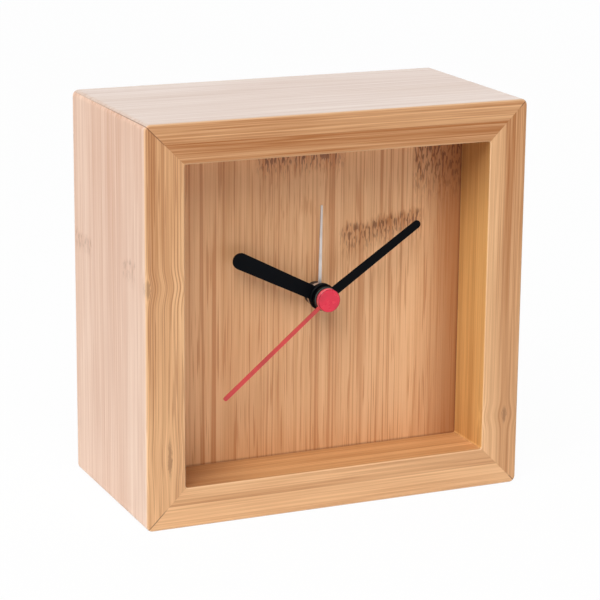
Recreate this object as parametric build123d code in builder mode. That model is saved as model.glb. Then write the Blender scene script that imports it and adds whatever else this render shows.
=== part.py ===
from build123d import *
import math
import os

# A square bamboo desk alarm clock. Four mitred boards hold a recessed dial, and a quartz alarm movement
# behind the dial turns four hands on one axis. The back has a window over the movement's knobs, switch and
# battery door.
# Millimetres, +Z up, X to the right as seen from the front and Y from the front towards the back. The origin
# is under the middle of the case, on the surface that the clock stands on.

# Case
CASE_WIDTH = 100.0
CASE_HEIGHT = 99.0
CASE_DEPTH = 52.0
BOARD_THICKNESS = 10.0
CASE_CORNER_RADIUS = 1.6
CASE_EDGE_RADIUS = 0.6
OPENING_CORNER_RADIUS = 0.6
OPENING_EDGE_RADIUS = 0.4
DIAL_RECESS = 15.0
DIAL_THICKNESS = 4.0
DIAL_GROOVE_DEPTH = 2.5
BACK_THICKNESS = 4.0
BACK_INSET = 3.0
BACK_REBATE_WIDTH = 6.0
PANEL_CLEARANCE = 0.15
BACK_WINDOW_GAP = 3.0
BACK_WINDOW_RADIUS = 4.0
BACK_WINDOW_CHAMFER = 0.6

# Fasteners
BACK_SCREW_RADIUS = 1.1
BACK_SCREW_HEAD_RADIUS = 2.2
BACK_SCREW_LENGTH = 9.0
COUNTERSINK_ANGLE = 90.0
MOVEMENT_SCREW_RADIUS = 0.75
MOVEMENT_SCREW_HEAD_RADIUS = 1.4
MOVEMENT_SCREW_HEAD_HEIGHT = 1.3
MOVEMENT_SCREW_BITE = 3.0
SCREW_SLOT_WIDTH = 0.6
SCREW_SLOT_DEPTH = 0.6
SCREW_CLEARANCE = 0.05

# Hand stack, measured outwards from the dial's face
HAND_AXIS_RISE = 1.6
SECOND_ARBOR_RADIUS = 0.5
MINUTE_PIPE_WALL = 0.75
HOUR_PIPE_WALL = 0.45
ALARM_PIPE_WALL = 0.4
BUSH_WALL = 0.5
BUSH_RISE = 1.4
DIAL_HOLE_CLEARANCE = 0.1
HAND_GAP = 0.55
PIPE_SETBACK = 0.1
RUNNING_CLEARANCE = 0.05
PRESS_CLEARANCE = 0.01

ALARM_HAND_LENGTH = 22.7
ALARM_HAND_ANGLE = 0.9
ALARM_HAND_ROOT_WIDTH = 0.9
ALARM_HAND_TIP_WIDTH = 0.45
ALARM_HAND_THICKNESS = 0.3
ALARM_HUB_RADIUS = 3.0
ALARM_HUB_HEIGHT = 1.5

HOUR_HAND_LENGTH = 26.3
HOUR_HAND_ANGLE = 296.7
HOUR_HAND_ROOT_WIDTH = 3.4
HOUR_HAND_TIP_WIDTH = 4.1
HOUR_HAND_THICKNESS = 0.4
HOUR_HUB_RADIUS = 3.4
HOUR_HUB_HEIGHT = 1.2

MINUTE_HAND_LENGTH = 30.7
MINUTE_HAND_ANGLE = 56.0
MINUTE_HAND_ROOT_WIDTH = 2.4
MINUTE_HAND_TIP_WIDTH = 2.0
MINUTE_HAND_THICKNESS = 0.4
MINUTE_HUB_RADIUS = 3.0
MINUTE_HUB_HEIGHT = 1.3

SECOND_HAND_LENGTH = 35.4
SECOND_HAND_ANGLE = 230.3
SECOND_HAND_ROOT_WIDTH = 0.95
SECOND_HAND_TIP_WIDTH = 1.1
SECOND_HAND_THICKNESS = 0.3
SECOND_COLLET_RADIUS = 1.4
SECOND_COLLET_HEIGHT = 0.7
CAP_RADIUS = 2.9
CAP_HEIGHT = 1.05
CAP_EDGE_RADIUS = 0.2
HUB_EDGE_CHAMFER = 0.2

# Wheels: one module sets the whole train, and each mesh takes a share of it
TRAIN_MODULE = 0.25
ROTOR_MODULE_SHARE = 0.88
SECOND_MODULE_SHARE = 1.2
MOTION_MODULE_SHARE = 1.5
ALARM_MODULE_SHARE = 1.28
ADDENDUM_SHARE = 0.85
DEDENDUM_SHARE = 1.15
TOOTH_ROOT_SHARE = 0.6
TOOTH_TIP_SHARE = 0.22

ROTOR_PINION_TEETH = 8
INTERMEDIATE_WHEEL_TEETH = 40
INTERMEDIATE_PINION_TEETH = 8
SECOND_WHEEL_TEETH = 48
SECOND_PINION_TEETH = 8
THIRD_WHEEL_TEETH = 64
THIRD_PINION_TEETH = 8
DRIVE_WHEEL_TEETH = 60
MINUTE_PINION_TEETH = 12
MOTION_WHEEL_TEETH = 36
MOTION_PINION_TEETH = 10
HOUR_WHEEL_TEETH = 40
TIME_PINION_TEETH = 12
ALARM_WHEEL_TEETH = 60
ALARM_PINION_TEETH = 14

THIRD_ANGLE = 90.0
INTERMEDIATE_ANGLE = -30.0
ROTOR_ANGLE = 0.0
ALARM_KNOB_ANGLE = 36.0

# Movement
HOUSING_WALL = 1.5
HOUSING_CORNER_RADIUS = 3.0
HOUSING_RISE = 27.0
HOUSING_CLEARANCE = 0.3
EAR_REACH = 1.6
EAR_RADIUS = 1.8
EAR_THICKNESS = 2.0
LAYER_GAP = 0.5
PLATE_THICKNESS = 1.0
GOING_WHEEL_THICKNESS = 0.9
MOTION_WHEEL_THICKNESS = 1.2
ARBOR_RADIUS = 0.5
STUD_RADIUS = 0.8
BEARING_WALL = 0.9
BEARING_LENGTH = 3.3
PIVOT_LENGTH = 1.5
POST_RADIUS = 1.5
POST_PIN_RADIUS = 0.7
COVER_EDGE_RADIUS = 0.8

# Motor
ROTOR_RADIUS = 2.6
ROTOR_HEIGHT = 2.2
ROTOR_GAP = 0.4
STATOR_RIM = 1.3
STATOR_THICKNESS = 1.0
STATOR_ARM_WIDTH = 2.6
STATOR_ARM_OFFSET = 1.6
COIL_GAP = 0.4
COIL_LENGTH = 19.0
COIL_RISE = 4.0
COIL_RADIUS = 3.5
BOBBIN_FLANGE_RADIUS = 3.8
BOBBIN_FLANGE_THICKNESS = 0.8
BOBBIN_TUBE_RADIUS = 1.7
CORE_WIDTH = 2.0
CORE_THICKNESS = 1.2
CORE_OVERHANG = 3.6
STATOR_POST_RADIUS = 1.2

# Electronics and battery
CELL_RADIUS = 7.15
CELL_LENGTH = 50.3
CELL_NUB_RADIUS = 2.7
CELL_NUB_HEIGHT = 1.0
CELL_EDGE_CHAMFER = 0.6
CONTACT_THICKNESS = 0.4
CONTACT_SIZE = 10.0
CONTACT_CORNER_RADIUS = 1.5
CONTACT_BUMP_RADIUS = 1.8
CONTACT_BUMP_HEIGHT = 0.8
CIRCUIT_WIDTH = 8.5
CIRCUIT_HEIGHT = 19.0
CIRCUIT_THICKNESS = 1.0
CIRCUIT_STANDOFF = 2.4
CIRCUIT_POST_RADIUS = 1.2
CRYSTAL_RADIUS = 1.0
CRYSTAL_LENGTH = 6.0
CHIP_RADIUS = 2.6
CHIP_HEIGHT = 0.9
CHIP_RISE = 4.0
SOUNDER_RADIUS = 6.0
SOUNDER_HEIGHT = 4.5
SOUNDER_EDGE_CHAMFER = 0.5
SOUND_HOLE_RADIUS = 0.7
SOUND_HOLE_RING_RADIUS = 3.0
SOUND_HOLE_COUNT = 6
LEAF_WIDTH = 1.6
LEAF_THICKNESS = 0.25
LEAF_LIFT = 0.15
LEAF_LENGTH = 9.6
LEAF_ANGLE = -20.0
LEAF_TIP_SHARE = 0.8
LEAF_POST_RADIUS = 1.2

# Controls at the back
KNOB_RADIUS = 5.2
KNOB_HEIGHT = 4.6
KNOB_GAP = 0.5
KNOB_FLUTE_COUNT = 16
KNOB_FLUTE_RADIUS = 0.6
KNOB_CROWN_HEIGHT = 1.0
KNOB_CROWN_SETBACK = 1.1
KNOB_EDGE_CHAMFER = 0.4
KNOB_MARK_WIDTH = 0.7
KNOB_MARK_DEPTH = 0.4
KNOB_BORE_DEPTH = 3.2
KNOB_SHAFT_RADIUS = 1.2
SWITCH_PLACE = (13.5, 20.5)
SWITCH_TRAVEL = 4.0
SWITCH_NECK_LENGTH = 3.0
SWITCH_NECK_WIDTH = 2.4
SWITCH_PLATE_LENGTH = 8.0
SWITCH_PLATE_WIDTH = 4.4
SWITCH_PLATE_THICKNESS = 1.0
SWITCH_THUMB_LENGTH = 4.6
SWITCH_THUMB_WIDTH = 4.0
SWITCH_THUMB_HEIGHT = 1.8
SWITCH_RIDGE_COUNT = 3
SWITCH_RIDGE_PITCH = 1.2
SWITCH_RIDGE_DEPTH = 0.4
SWITCH_CLEARANCE = 0.2
DOOR_LEDGE = 0.6
DOOR_LIP = 1.0
DOOR_THICKNESS = 1.2
DOOR_CLEARANCE = 0.2
DOOR_CORNER_RADIUS = 1.5
DOOR_RIB_COUNT = 5
DOOR_RIB_PITCH = 1.6
DOOR_RIB_LENGTH = 9.0
DOOR_RIB_WIDTH = 0.7
DOOR_RIB_HEIGHT = 0.5


def station(depth, place=(0, 0)):
    """A plane that faces the viewer, this far behind the case's front, with a place beside the hand axis."""
    return Plane(
        origin=(place[0], depth - CASE_DEPTH / 2, CASE_HEIGHT / 2 + HAND_AXIS_RISE + place[1]),
        x_dir=(1, 0, 0),
        z_dir=(0, -1, 0),
    )


def polar(reach, angle, centre=(0, 0)):
    """The place at this reach and angle, in degrees anticlockwise from X as seen from the front."""
    turn = math.radians(angle)
    return (centre[0] + reach * math.cos(turn), centre[1] + reach * math.sin(turn))


def mesh_reach(module, teeth, other_teeth):
    """Distance between the axes of two wheels in mesh."""
    return module * (teeth + other_teeth) / 2


def tip_radius(module, teeth):
    """Radius over a wheel's teeth."""
    return module * (teeth / 2 + ADDENDUM_SHARE)


def mesh_phase(phase, teeth, place, other_teeth, other_place):
    """The phase at which the other wheel's gap faces the first wheel's tooth, both in degrees."""
    towards = math.degrees(math.atan2(other_place[1] - place[1], other_place[0] - place[0]))
    along_tooth = ((towards - phase) * teeth / 360) % 1
    return towards + 180 - (1 / 2 - along_tooth) * 360 / other_teeth


def toothed_outline(teeth, module, phase=0):
    """Draws a wheel's outline in the open sketch, with one tooth's middle at the phase angle."""
    root = module * (teeth / 2 - DEDENDUM_SHARE)
    tip = tip_radius(module, teeth)
    half_pitch = 360 / teeth / 2
    flanks = (
        (root, -TOOTH_ROOT_SHARE),
        (tip, -TOOTH_TIP_SHARE),
        (tip, TOOTH_TIP_SHARE),
        (root, TOOTH_ROOT_SHARE),
    )
    corners = []
    for tooth in range(teeth):
        for radius, share in flanks:
            corners.append(polar(radius, phase + (2 * tooth + share) * half_pitch))
    Polygon(*corners, align=None)


def hand_outline(length, angle, root_width, tip_width):
    """Draws a hand's blade in the open sketch: a bar with a round tip, tapering from the hand axis."""
    tip_place = polar(length - tip_width / 2, 90 - angle)
    Circle(root_width / 2)
    with Locations(tip_place):
        Circle(tip_width / 2)
    make_hull()


def finish(builder, name):
    """Names a finished piece and writes it to its own file."""
    builder.part.label = name
    export_step(builder.part, f"parts/{name}.step")


# Hand stack: radii from the inside outwards, heights above the dial from the bush outwards
MINUTE_BORE = SECOND_ARBOR_RADIUS + RUNNING_CLEARANCE
MINUTE_PIPE_RADIUS = MINUTE_BORE + MINUTE_PIPE_WALL
HOUR_BORE = MINUTE_PIPE_RADIUS + RUNNING_CLEARANCE
HOUR_PIPE_RADIUS = HOUR_BORE + HOUR_PIPE_WALL
ALARM_BORE = HOUR_PIPE_RADIUS + RUNNING_CLEARANCE
ALARM_PIPE_RADIUS = ALARM_BORE + ALARM_PIPE_WALL
BUSH_BORE = ALARM_PIPE_RADIUS + RUNNING_CLEARANCE
BUSH_RADIUS = BUSH_BORE + BUSH_WALL

BUSH_FRONT = DIAL_RECESS - BUSH_RISE
ALARM_HUB_REAR = BUSH_FRONT - HAND_GAP
ALARM_HUB_FRONT = ALARM_HUB_REAR - ALARM_HUB_HEIGHT
HOUR_HUB_REAR = ALARM_HUB_FRONT - HAND_GAP
HOUR_HUB_FRONT = HOUR_HUB_REAR - HOUR_HUB_HEIGHT
MINUTE_HUB_REAR = HOUR_HUB_FRONT - HAND_GAP
MINUTE_HUB_FRONT = MINUTE_HUB_REAR - MINUTE_HUB_HEIGHT
SECOND_HAND_REAR = MINUTE_HUB_FRONT - HAND_GAP
SECOND_HAND_FRONT = SECOND_HAND_REAR - SECOND_HAND_THICKNESS
SECOND_COLLET_FRONT = SECOND_HAND_FRONT - SECOND_COLLET_HEIGHT

# Layers of the movement, from the dial's back towards the rear
HOUSING_FRONT = DIAL_RECESS + DIAL_THICKNESS
CHAMBER_FRONT = HOUSING_FRONT + HOUSING_WALL
ALARM_WHEEL_FRONT = CHAMBER_FRONT + LAYER_GAP
ALARM_WHEEL_REAR = ALARM_WHEEL_FRONT + MOTION_WHEEL_THICKNESS
HOUR_WHEEL_FRONT = ALARM_WHEEL_REAR + LAYER_GAP
HOUR_WHEEL_REAR = HOUR_WHEEL_FRONT + MOTION_WHEEL_THICKNESS
MOTION_WHEEL_FRONT = HOUR_WHEEL_REAR + LAYER_GAP
MOTION_WHEEL_REAR = MOTION_WHEEL_FRONT + MOTION_WHEEL_THICKNESS
PLATE_FRONT = MOTION_WHEEL_REAR + LAYER_GAP
PLATE_REAR = PLATE_FRONT + PLATE_THICKNESS
DRIVE_WHEEL_FRONT = PLATE_REAR + LAYER_GAP
DRIVE_WHEEL_REAR = DRIVE_WHEEL_FRONT + GOING_WHEEL_THICKNESS
THIRD_WHEEL_FRONT = DRIVE_WHEEL_REAR + LAYER_GAP
THIRD_WHEEL_REAR = THIRD_WHEEL_FRONT + GOING_WHEEL_THICKNESS
SECOND_WHEEL_FRONT = THIRD_WHEEL_REAR + LAYER_GAP
SECOND_WHEEL_REAR = SECOND_WHEEL_FRONT + GOING_WHEEL_THICKNESS
INTERMEDIATE_WHEEL_FRONT = SECOND_WHEEL_REAR + LAYER_GAP
INTERMEDIATE_WHEEL_REAR = INTERMEDIATE_WHEEL_FRONT + GOING_WHEEL_THICKNESS
BEARING_FRONT = INTERMEDIATE_WHEEL_REAR + LAYER_GAP
PIVOT_REAR = BEARING_FRONT + PIVOT_LENGTH
CELL_DEPTH = CHAMBER_FRONT + HOUSING_CLEARANCE + CELL_RADIUS
COVER_INSIDE = max(BEARING_FRONT + BEARING_LENGTH, CELL_DEPTH + CELL_RADIUS + HOUSING_CLEARANCE)
COVER_REAR = COVER_INSIDE + HOUSING_WALL

# Modules and axis places of the wheels, beside the hand axis
ROTOR_MODULE = TRAIN_MODULE * ROTOR_MODULE_SHARE
SECOND_MODULE = TRAIN_MODULE * SECOND_MODULE_SHARE
MOTION_MODULE = TRAIN_MODULE * MOTION_MODULE_SHARE
ALARM_MODULE = TRAIN_MODULE * ALARM_MODULE_SHARE
THIRD_REACH = mesh_reach(TRAIN_MODULE, THIRD_PINION_TEETH, DRIVE_WHEEL_TEETH)
THIRD_MODULE = 2 * THIRD_REACH / (SECOND_PINION_TEETH + THIRD_WHEEL_TEETH)
MOTION_REACH = mesh_reach(MOTION_MODULE, MINUTE_PINION_TEETH, MOTION_WHEEL_TEETH)
HOUR_MODULE = 2 * MOTION_REACH / (MOTION_PINION_TEETH + HOUR_WHEEL_TEETH)
TIME_REACH = mesh_reach(MOTION_MODULE, TIME_PINION_TEETH, MOTION_WHEEL_TEETH)
ALARM_REACH = mesh_reach(ALARM_MODULE, ALARM_PINION_TEETH, ALARM_WHEEL_TEETH)
INTERMEDIATE_REACH = mesh_reach(SECOND_MODULE, INTERMEDIATE_PINION_TEETH, SECOND_WHEEL_TEETH)
ROTOR_REACH = mesh_reach(ROTOR_MODULE, ROTOR_PINION_TEETH, INTERMEDIATE_WHEEL_TEETH)

CENTRE = (0, 0)
THIRD_PLACE = polar(THIRD_REACH, THIRD_ANGLE)
INTERMEDIATE_PLACE = polar(INTERMEDIATE_REACH, INTERMEDIATE_ANGLE)
ROTOR_PLACE = polar(ROTOR_REACH, ROTOR_ANGLE, INTERMEDIATE_PLACE)
ALARM_KNOB_PLACE = polar(ALARM_REACH, ALARM_KNOB_ANGLE)
TIME_KNOB_PLACE = (-ALARM_KNOB_PLACE[0], ALARM_KNOB_PLACE[1])

# The motion wheel meshes with the minute pinion and the time pinion, so its axis closes their triangle
MOTION_CORNER = math.degrees(
    math.acos((MOTION_REACH**2 + ALARM_REACH**2 - TIME_REACH**2) / (2 * MOTION_REACH * ALARM_REACH))
)
MOTION_PLACE = polar(MOTION_REACH, 180 - ALARM_KNOB_ANGLE + MOTION_CORNER)

INTERMEDIATE_PHASE = mesh_phase(
    0, ROTOR_PINION_TEETH, ROTOR_PLACE, INTERMEDIATE_WHEEL_TEETH, INTERMEDIATE_PLACE
)
SECOND_PHASE = mesh_phase(0, INTERMEDIATE_PINION_TEETH, INTERMEDIATE_PLACE, SECOND_WHEEL_TEETH, CENTRE)
THIRD_PHASE = mesh_phase(0, SECOND_PINION_TEETH, CENTRE, THIRD_WHEEL_TEETH, THIRD_PLACE)
DRIVE_PHASE = mesh_phase(0, THIRD_PINION_TEETH, THIRD_PLACE, DRIVE_WHEEL_TEETH, CENTRE)
MOTION_PHASE = mesh_phase(0, MINUTE_PINION_TEETH, CENTRE, MOTION_WHEEL_TEETH, MOTION_PLACE)
TIME_PHASE = mesh_phase(
    MOTION_PHASE, MOTION_WHEEL_TEETH, MOTION_PLACE, TIME_PINION_TEETH, TIME_KNOB_PLACE
)
HOUR_PHASE = mesh_phase(0, MOTION_PINION_TEETH, MOTION_PLACE, HOUR_WHEEL_TEETH, CENTRE)
ALARM_PINION_PHASE = mesh_phase(0, ALARM_WHEEL_TEETH, CENTRE, ALARM_PINION_TEETH, ALARM_KNOB_PLACE)

# Housing: the battery bay lies under the lowest wheel, and the coil and the battery set the width
STATOR_RADIUS = ROTOR_RADIUS + ROTOR_GAP + STATOR_RIM
COIL_PLACE = (ROTOR_PLACE[0] + STATOR_RADIUS + COIL_GAP + BOBBIN_FLANGE_RADIUS, COIL_RISE)
LOWEST_TOOTH = min(
    -tip_radius(ALARM_MODULE, ALARM_WHEEL_TEETH),
    MOTION_PLACE[1] - tip_radius(MOTION_MODULE, MOTION_WHEEL_TEETH),
    COIL_RISE - COIL_LENGTH / 2 - CORE_OVERHANG,
)
BAY_TOP = LOWEST_TOOTH - HOUSING_CLEARANCE
CELL_PLACE = (0, BAY_TOP - HOUSING_WALL - HOUSING_CLEARANCE - CELL_RADIUS)
INSIDE_BOTTOM = CELL_PLACE[1] - CELL_RADIUS - HOUSING_CLEARANCE
INSIDE_TOP = HOUSING_RISE - HOUSING_WALL
INSIDE_REACH = max(
    CELL_LENGTH / 2 + CONTACT_BUMP_HEIGHT + CONTACT_THICKNESS,
    COIL_PLACE[0] + BOBBIN_FLANGE_RADIUS + HOUSING_CLEARANCE,
)
HOUSING_REACH = INSIDE_REACH + HOUSING_WALL
HOUSING_HEIGHT = INSIDE_TOP - INSIDE_BOTTOM + 2 * HOUSING_WALL
HOUSING_PLACE = (0, (INSIDE_TOP + INSIDE_BOTTOM) / 2)
BAY_HEIGHT = 2 * (CELL_RADIUS + HOUSING_CLEARANCE)
INSIDE_RADIUS = max(HOUSING_CORNER_RADIUS - HOUSING_WALL, HOUSING_CLEARANCE)

POST_X = INSIDE_REACH - HOUSING_CLEARANCE - POST_RADIUS
POST_TOP = INSIDE_TOP - HOUSING_CLEARANCE - POST_RADIUS
POST_BOTTOM = BAY_TOP + POST_RADIUS + HOUSING_CLEARANCE
POST_PLACES = [(-POST_X, POST_TOP), (POST_X, POST_TOP), (-POST_X, POST_BOTTOM), (POST_X, POST_BOTTOM)]

# The ears stand just outside the housing, where a driver reaches their screws through the back window
EAR_X = HOUSING_REACH + EAR_REACH
EAR_PLACES = [(-EAR_X, 0), (EAR_X, 0)]

STATOR_FRONT = DRIVE_WHEEL_FRONT + (ROTOR_HEIGHT - STATOR_THICKNESS) / 2
STATOR_REAR = STATOR_FRONT + STATOR_THICKNESS
COIL_DEPTH = STATOR_REAR + CORE_THICKNESS / 2
LUG_BOTTOM = (COIL_PLACE[0], COIL_RISE - COIL_LENGTH / 2 - CORE_OVERHANG / 2)
LUG_TOP = (COIL_PLACE[0], COIL_RISE + COIL_LENGTH / 2 + CORE_OVERHANG / 2)

SOUNDER_PLACE = (
    HOUSING_CLEARANCE + SOUNDER_RADIUS - INSIDE_REACH,
    INSIDE_TOP - HOUSING_CLEARANCE - SOUNDER_RADIUS,
)
CIRCUIT_PLACE = (
    HOUSING_CLEARANCE + CIRCUIT_WIDTH / 2 - INSIDE_REACH,
    BAY_TOP + HOUSING_CLEARANCE + CIRCUIT_HEIGHT / 2,
)
CIRCUIT_REAR = COVER_INSIDE - CIRCUIT_STANDOFF
CIRCUIT_FRONT = CIRCUIT_REAR - CIRCUIT_THICKNESS
KNOB_FRONT = COVER_REAR + KNOB_GAP
KNOB_BORE_REAR = KNOB_FRONT + KNOB_BORE_DEPTH
DOOR_WIDTH = 2 * (INSIDE_REACH - DOOR_LEDGE)
BACK_FRONT = CASE_DEPTH - BACK_INSET - BACK_THICKNESS
BACK_REAR = CASE_DEPTH - BACK_INSET

os.makedirs("parts", exist_ok=True)

# Case boards: one framed blank, cut along the four mitres
OPENING_WIDTH = CASE_WIDTH - 2 * BOARD_THICKNESS
OPENING_HEIGHT = CASE_HEIGHT - 2 * BOARD_THICKNESS
CASE_MIDDLE = (0, -HAND_AXIS_RISE)
SCREW_ROW_X = OPENING_WIDTH / 2 + BACK_REBATE_WIDTH / 2
SCREW_ROW_Z = OPENING_HEIGHT / 2 + BACK_REBATE_WIDTH / 2
BACK_SCREW_PLACES = [(-SCREW_ROW_X, 0), (SCREW_ROW_X, 0), (0, -SCREW_ROW_Z), (0, SCREW_ROW_Z)]

with BuildPart() as case_blank:
    Box(CASE_WIDTH, CASE_DEPTH, CASE_HEIGHT, align=(Align.CENTER, Align.CENTER, Align.MIN))
    fillet(case_blank.edges().filter_by(Axis.Y), CASE_CORNER_RADIUS)
    fillet(case_blank.faces().filter_by(Axis.Y).edges(), CASE_EDGE_RADIUS)
    with BuildSketch(station(CASE_DEPTH, CASE_MIDDLE)):
        RectangleRounded(OPENING_WIDTH, OPENING_HEIGHT, OPENING_CORNER_RADIUS)
    extrude(amount=CASE_DEPTH, mode=Mode.SUBTRACT)
    with BuildSketch(station(HOUSING_FRONT, CASE_MIDDLE)):
        Rectangle(OPENING_WIDTH + 2 * DIAL_GROOVE_DEPTH, OPENING_HEIGHT + 2 * DIAL_GROOVE_DEPTH)
    extrude(amount=DIAL_THICKNESS, mode=Mode.SUBTRACT)
    with BuildSketch(station(CASE_DEPTH, CASE_MIDDLE)):
        Rectangle(OPENING_WIDTH + 2 * BACK_REBATE_WIDTH, OPENING_HEIGHT + 2 * BACK_REBATE_WIDTH)
    extrude(amount=CASE_DEPTH - BACK_FRONT, mode=Mode.SUBTRACT)
    front_face = case_blank.faces().filter_by(Axis.Y).sort_by(Axis.Y)[0]
    fillet(front_face.inner_wires()[0].edges(), OPENING_EDGE_RADIUS)
    with BuildSketch(station(BACK_FRONT, CASE_MIDDLE)):
        with Locations(*BACK_SCREW_PLACES):
            Circle(BACK_SCREW_RADIUS + SCREW_CLEARANCE)
    extrude(amount=BACK_SCREW_LENGTH - BACK_THICKNESS + SCREW_CLEARANCE, mode=Mode.SUBTRACT)

# Each mitre runs at 45 degrees through an outer corner, and its normal points at the upper or lower board
MITRE_TOP_LEFT = Plane(origin=(-CASE_WIDTH / 2, 0, CASE_HEIGHT), x_dir=(0, 1, 0), z_dir=(1, 0, 1))
MITRE_TOP_RIGHT = Plane(origin=(CASE_WIDTH / 2, 0, CASE_HEIGHT), x_dir=(0, 1, 0), z_dir=(-1, 0, 1))
MITRE_BOTTOM_LEFT = Plane(origin=(-CASE_WIDTH / 2, 0, 0), x_dir=(0, 1, 0), z_dir=(1, 0, -1))
MITRE_BOTTOM_RIGHT = Plane(origin=(CASE_WIDTH / 2, 0, 0), x_dir=(0, 1, 0), z_dir=(-1, 0, -1))

with BuildPart() as case_top:
    add(case_blank.part)
    split(bisect_by=MITRE_TOP_LEFT, keep=Keep.TOP)
    split(bisect_by=MITRE_TOP_RIGHT, keep=Keep.TOP)
finish(case_top, "case_top")

with BuildPart() as case_bottom:
    add(case_blank.part)
    split(bisect_by=MITRE_BOTTOM_LEFT, keep=Keep.TOP)
    split(bisect_by=MITRE_BOTTOM_RIGHT, keep=Keep.TOP)
finish(case_bottom, "case_bottom")

with BuildPart() as case_left:
    add(case_blank.part)
    split(bisect_by=MITRE_TOP_LEFT, keep=Keep.BOTTOM)
    split(bisect_by=MITRE_BOTTOM_LEFT, keep=Keep.BOTTOM)
finish(case_left, "case_left")

with BuildPart() as case_right:
    add(case_blank.part)
    split(bisect_by=MITRE_TOP_RIGHT, keep=Keep.BOTTOM)
    split(bisect_by=MITRE_BOTTOM_RIGHT, keep=Keep.BOTTOM)
finish(case_right, "case_right")

# Dial panel, with the bush's hole and pilot holes for the movement's screws
with BuildPart() as dial_panel:
    with BuildSketch(station(HOUSING_FRONT, CASE_MIDDLE)):
        groove_reach = 2 * (DIAL_GROOVE_DEPTH - PANEL_CLEARANCE)
        Rectangle(OPENING_WIDTH + groove_reach, OPENING_HEIGHT + groove_reach)
    extrude(amount=DIAL_THICKNESS)
    with BuildSketch(station(HOUSING_FRONT)):
        Circle(BUSH_RADIUS + DIAL_HOLE_CLEARANCE)
    extrude(amount=DIAL_THICKNESS, mode=Mode.SUBTRACT)
    with BuildSketch(station(HOUSING_FRONT)):
        with Locations(*EAR_PLACES):
            Circle(MOVEMENT_SCREW_RADIUS + SCREW_CLEARANCE)
    extrude(amount=MOVEMENT_SCREW_BITE + SCREW_CLEARANCE, mode=Mode.SUBTRACT)
finish(dial_panel, "dial_panel")

# Back panel, with a window round the movement and countersunk holes for its screws
HEAD_TAPER = COUNTERSINK_ANGLE / 2
HEAD_DEPTH = (BACK_SCREW_HEAD_RADIUS - BACK_SCREW_RADIUS) / math.tan(math.radians(HEAD_TAPER))

with BuildPart() as rear_panel:
    with BuildSketch(station(BACK_REAR, CASE_MIDDLE)):
        rebate_reach = 2 * (BACK_REBATE_WIDTH - PANEL_CLEARANCE)
        Rectangle(OPENING_WIDTH + rebate_reach, OPENING_HEIGHT + rebate_reach)
    extrude(amount=BACK_THICKNESS)
    with BuildSketch(station(BACK_REAR, HOUSING_PLACE)):
        RectangleRounded(
            2 * (HOUSING_REACH + BACK_WINDOW_GAP),
            HOUSING_HEIGHT + 2 * BACK_WINDOW_GAP,
            BACK_WINDOW_RADIUS,
        )
    extrude(amount=BACK_THICKNESS, mode=Mode.SUBTRACT)
    rear_face = rear_panel.faces().filter_by(Axis.Y).sort_by(Axis.Y)[-1]
    chamfer(rear_face.inner_wires()[0].edges(), BACK_WINDOW_CHAMFER)
    for screw_place in BACK_SCREW_PLACES:
        with BuildSketch(station(BACK_REAR, (screw_place[0], screw_place[1] - HAND_AXIS_RISE))):
            Circle(BACK_SCREW_HEAD_RADIUS + SCREW_CLEARANCE)
        extrude(amount=HEAD_DEPTH, taper=HEAD_TAPER, mode=Mode.SUBTRACT)
    with BuildSketch(station(BACK_REAR, CASE_MIDDLE)):
        with Locations(*BACK_SCREW_PLACES):
            Circle(BACK_SCREW_RADIUS + SCREW_CLEARANCE)
    extrude(amount=BACK_THICKNESS, mode=Mode.SUBTRACT)
finish(rear_panel, "rear_panel")

with BuildPart() as rear_panel_screws:
    for screw_place in BACK_SCREW_PLACES:
        with BuildSketch(station(BACK_REAR, (screw_place[0], screw_place[1] - HAND_AXIS_RISE))):
            Circle(BACK_SCREW_HEAD_RADIUS)
        extrude(amount=HEAD_DEPTH, taper=HEAD_TAPER)
    with BuildSketch(station(BACK_REAR, CASE_MIDDLE)):
        with Locations(*BACK_SCREW_PLACES):
            Circle(BACK_SCREW_RADIUS)
    extrude(amount=BACK_SCREW_LENGTH)
    with BuildSketch(station(BACK_REAR, CASE_MIDDLE)):
        with Locations(*BACK_SCREW_PLACES):
            Rectangle(2 * BACK_SCREW_RADIUS, SCREW_SLOT_WIDTH)
            Rectangle(SCREW_SLOT_WIDTH, 2 * BACK_SCREW_RADIUS)
    extrude(amount=SCREW_SLOT_DEPTH, mode=Mode.SUBTRACT)
finish(rear_panel_screws, "rear_panel_screws")

# Front housing: a tray with the centre bush, ears against the dial, plate posts and pinion bearings
TIME_BEARING_REAR = MOTION_WHEEL_FRONT - HOUSING_CLEARANCE
TIME_PIVOT_FRONT = TIME_BEARING_REAR - PIVOT_LENGTH
ALARM_PIVOT_FRONT = CHAMBER_FRONT - HOUSING_WALL / 2
BEARING_BORE = ARBOR_RADIUS + RUNNING_CLEARANCE

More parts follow.
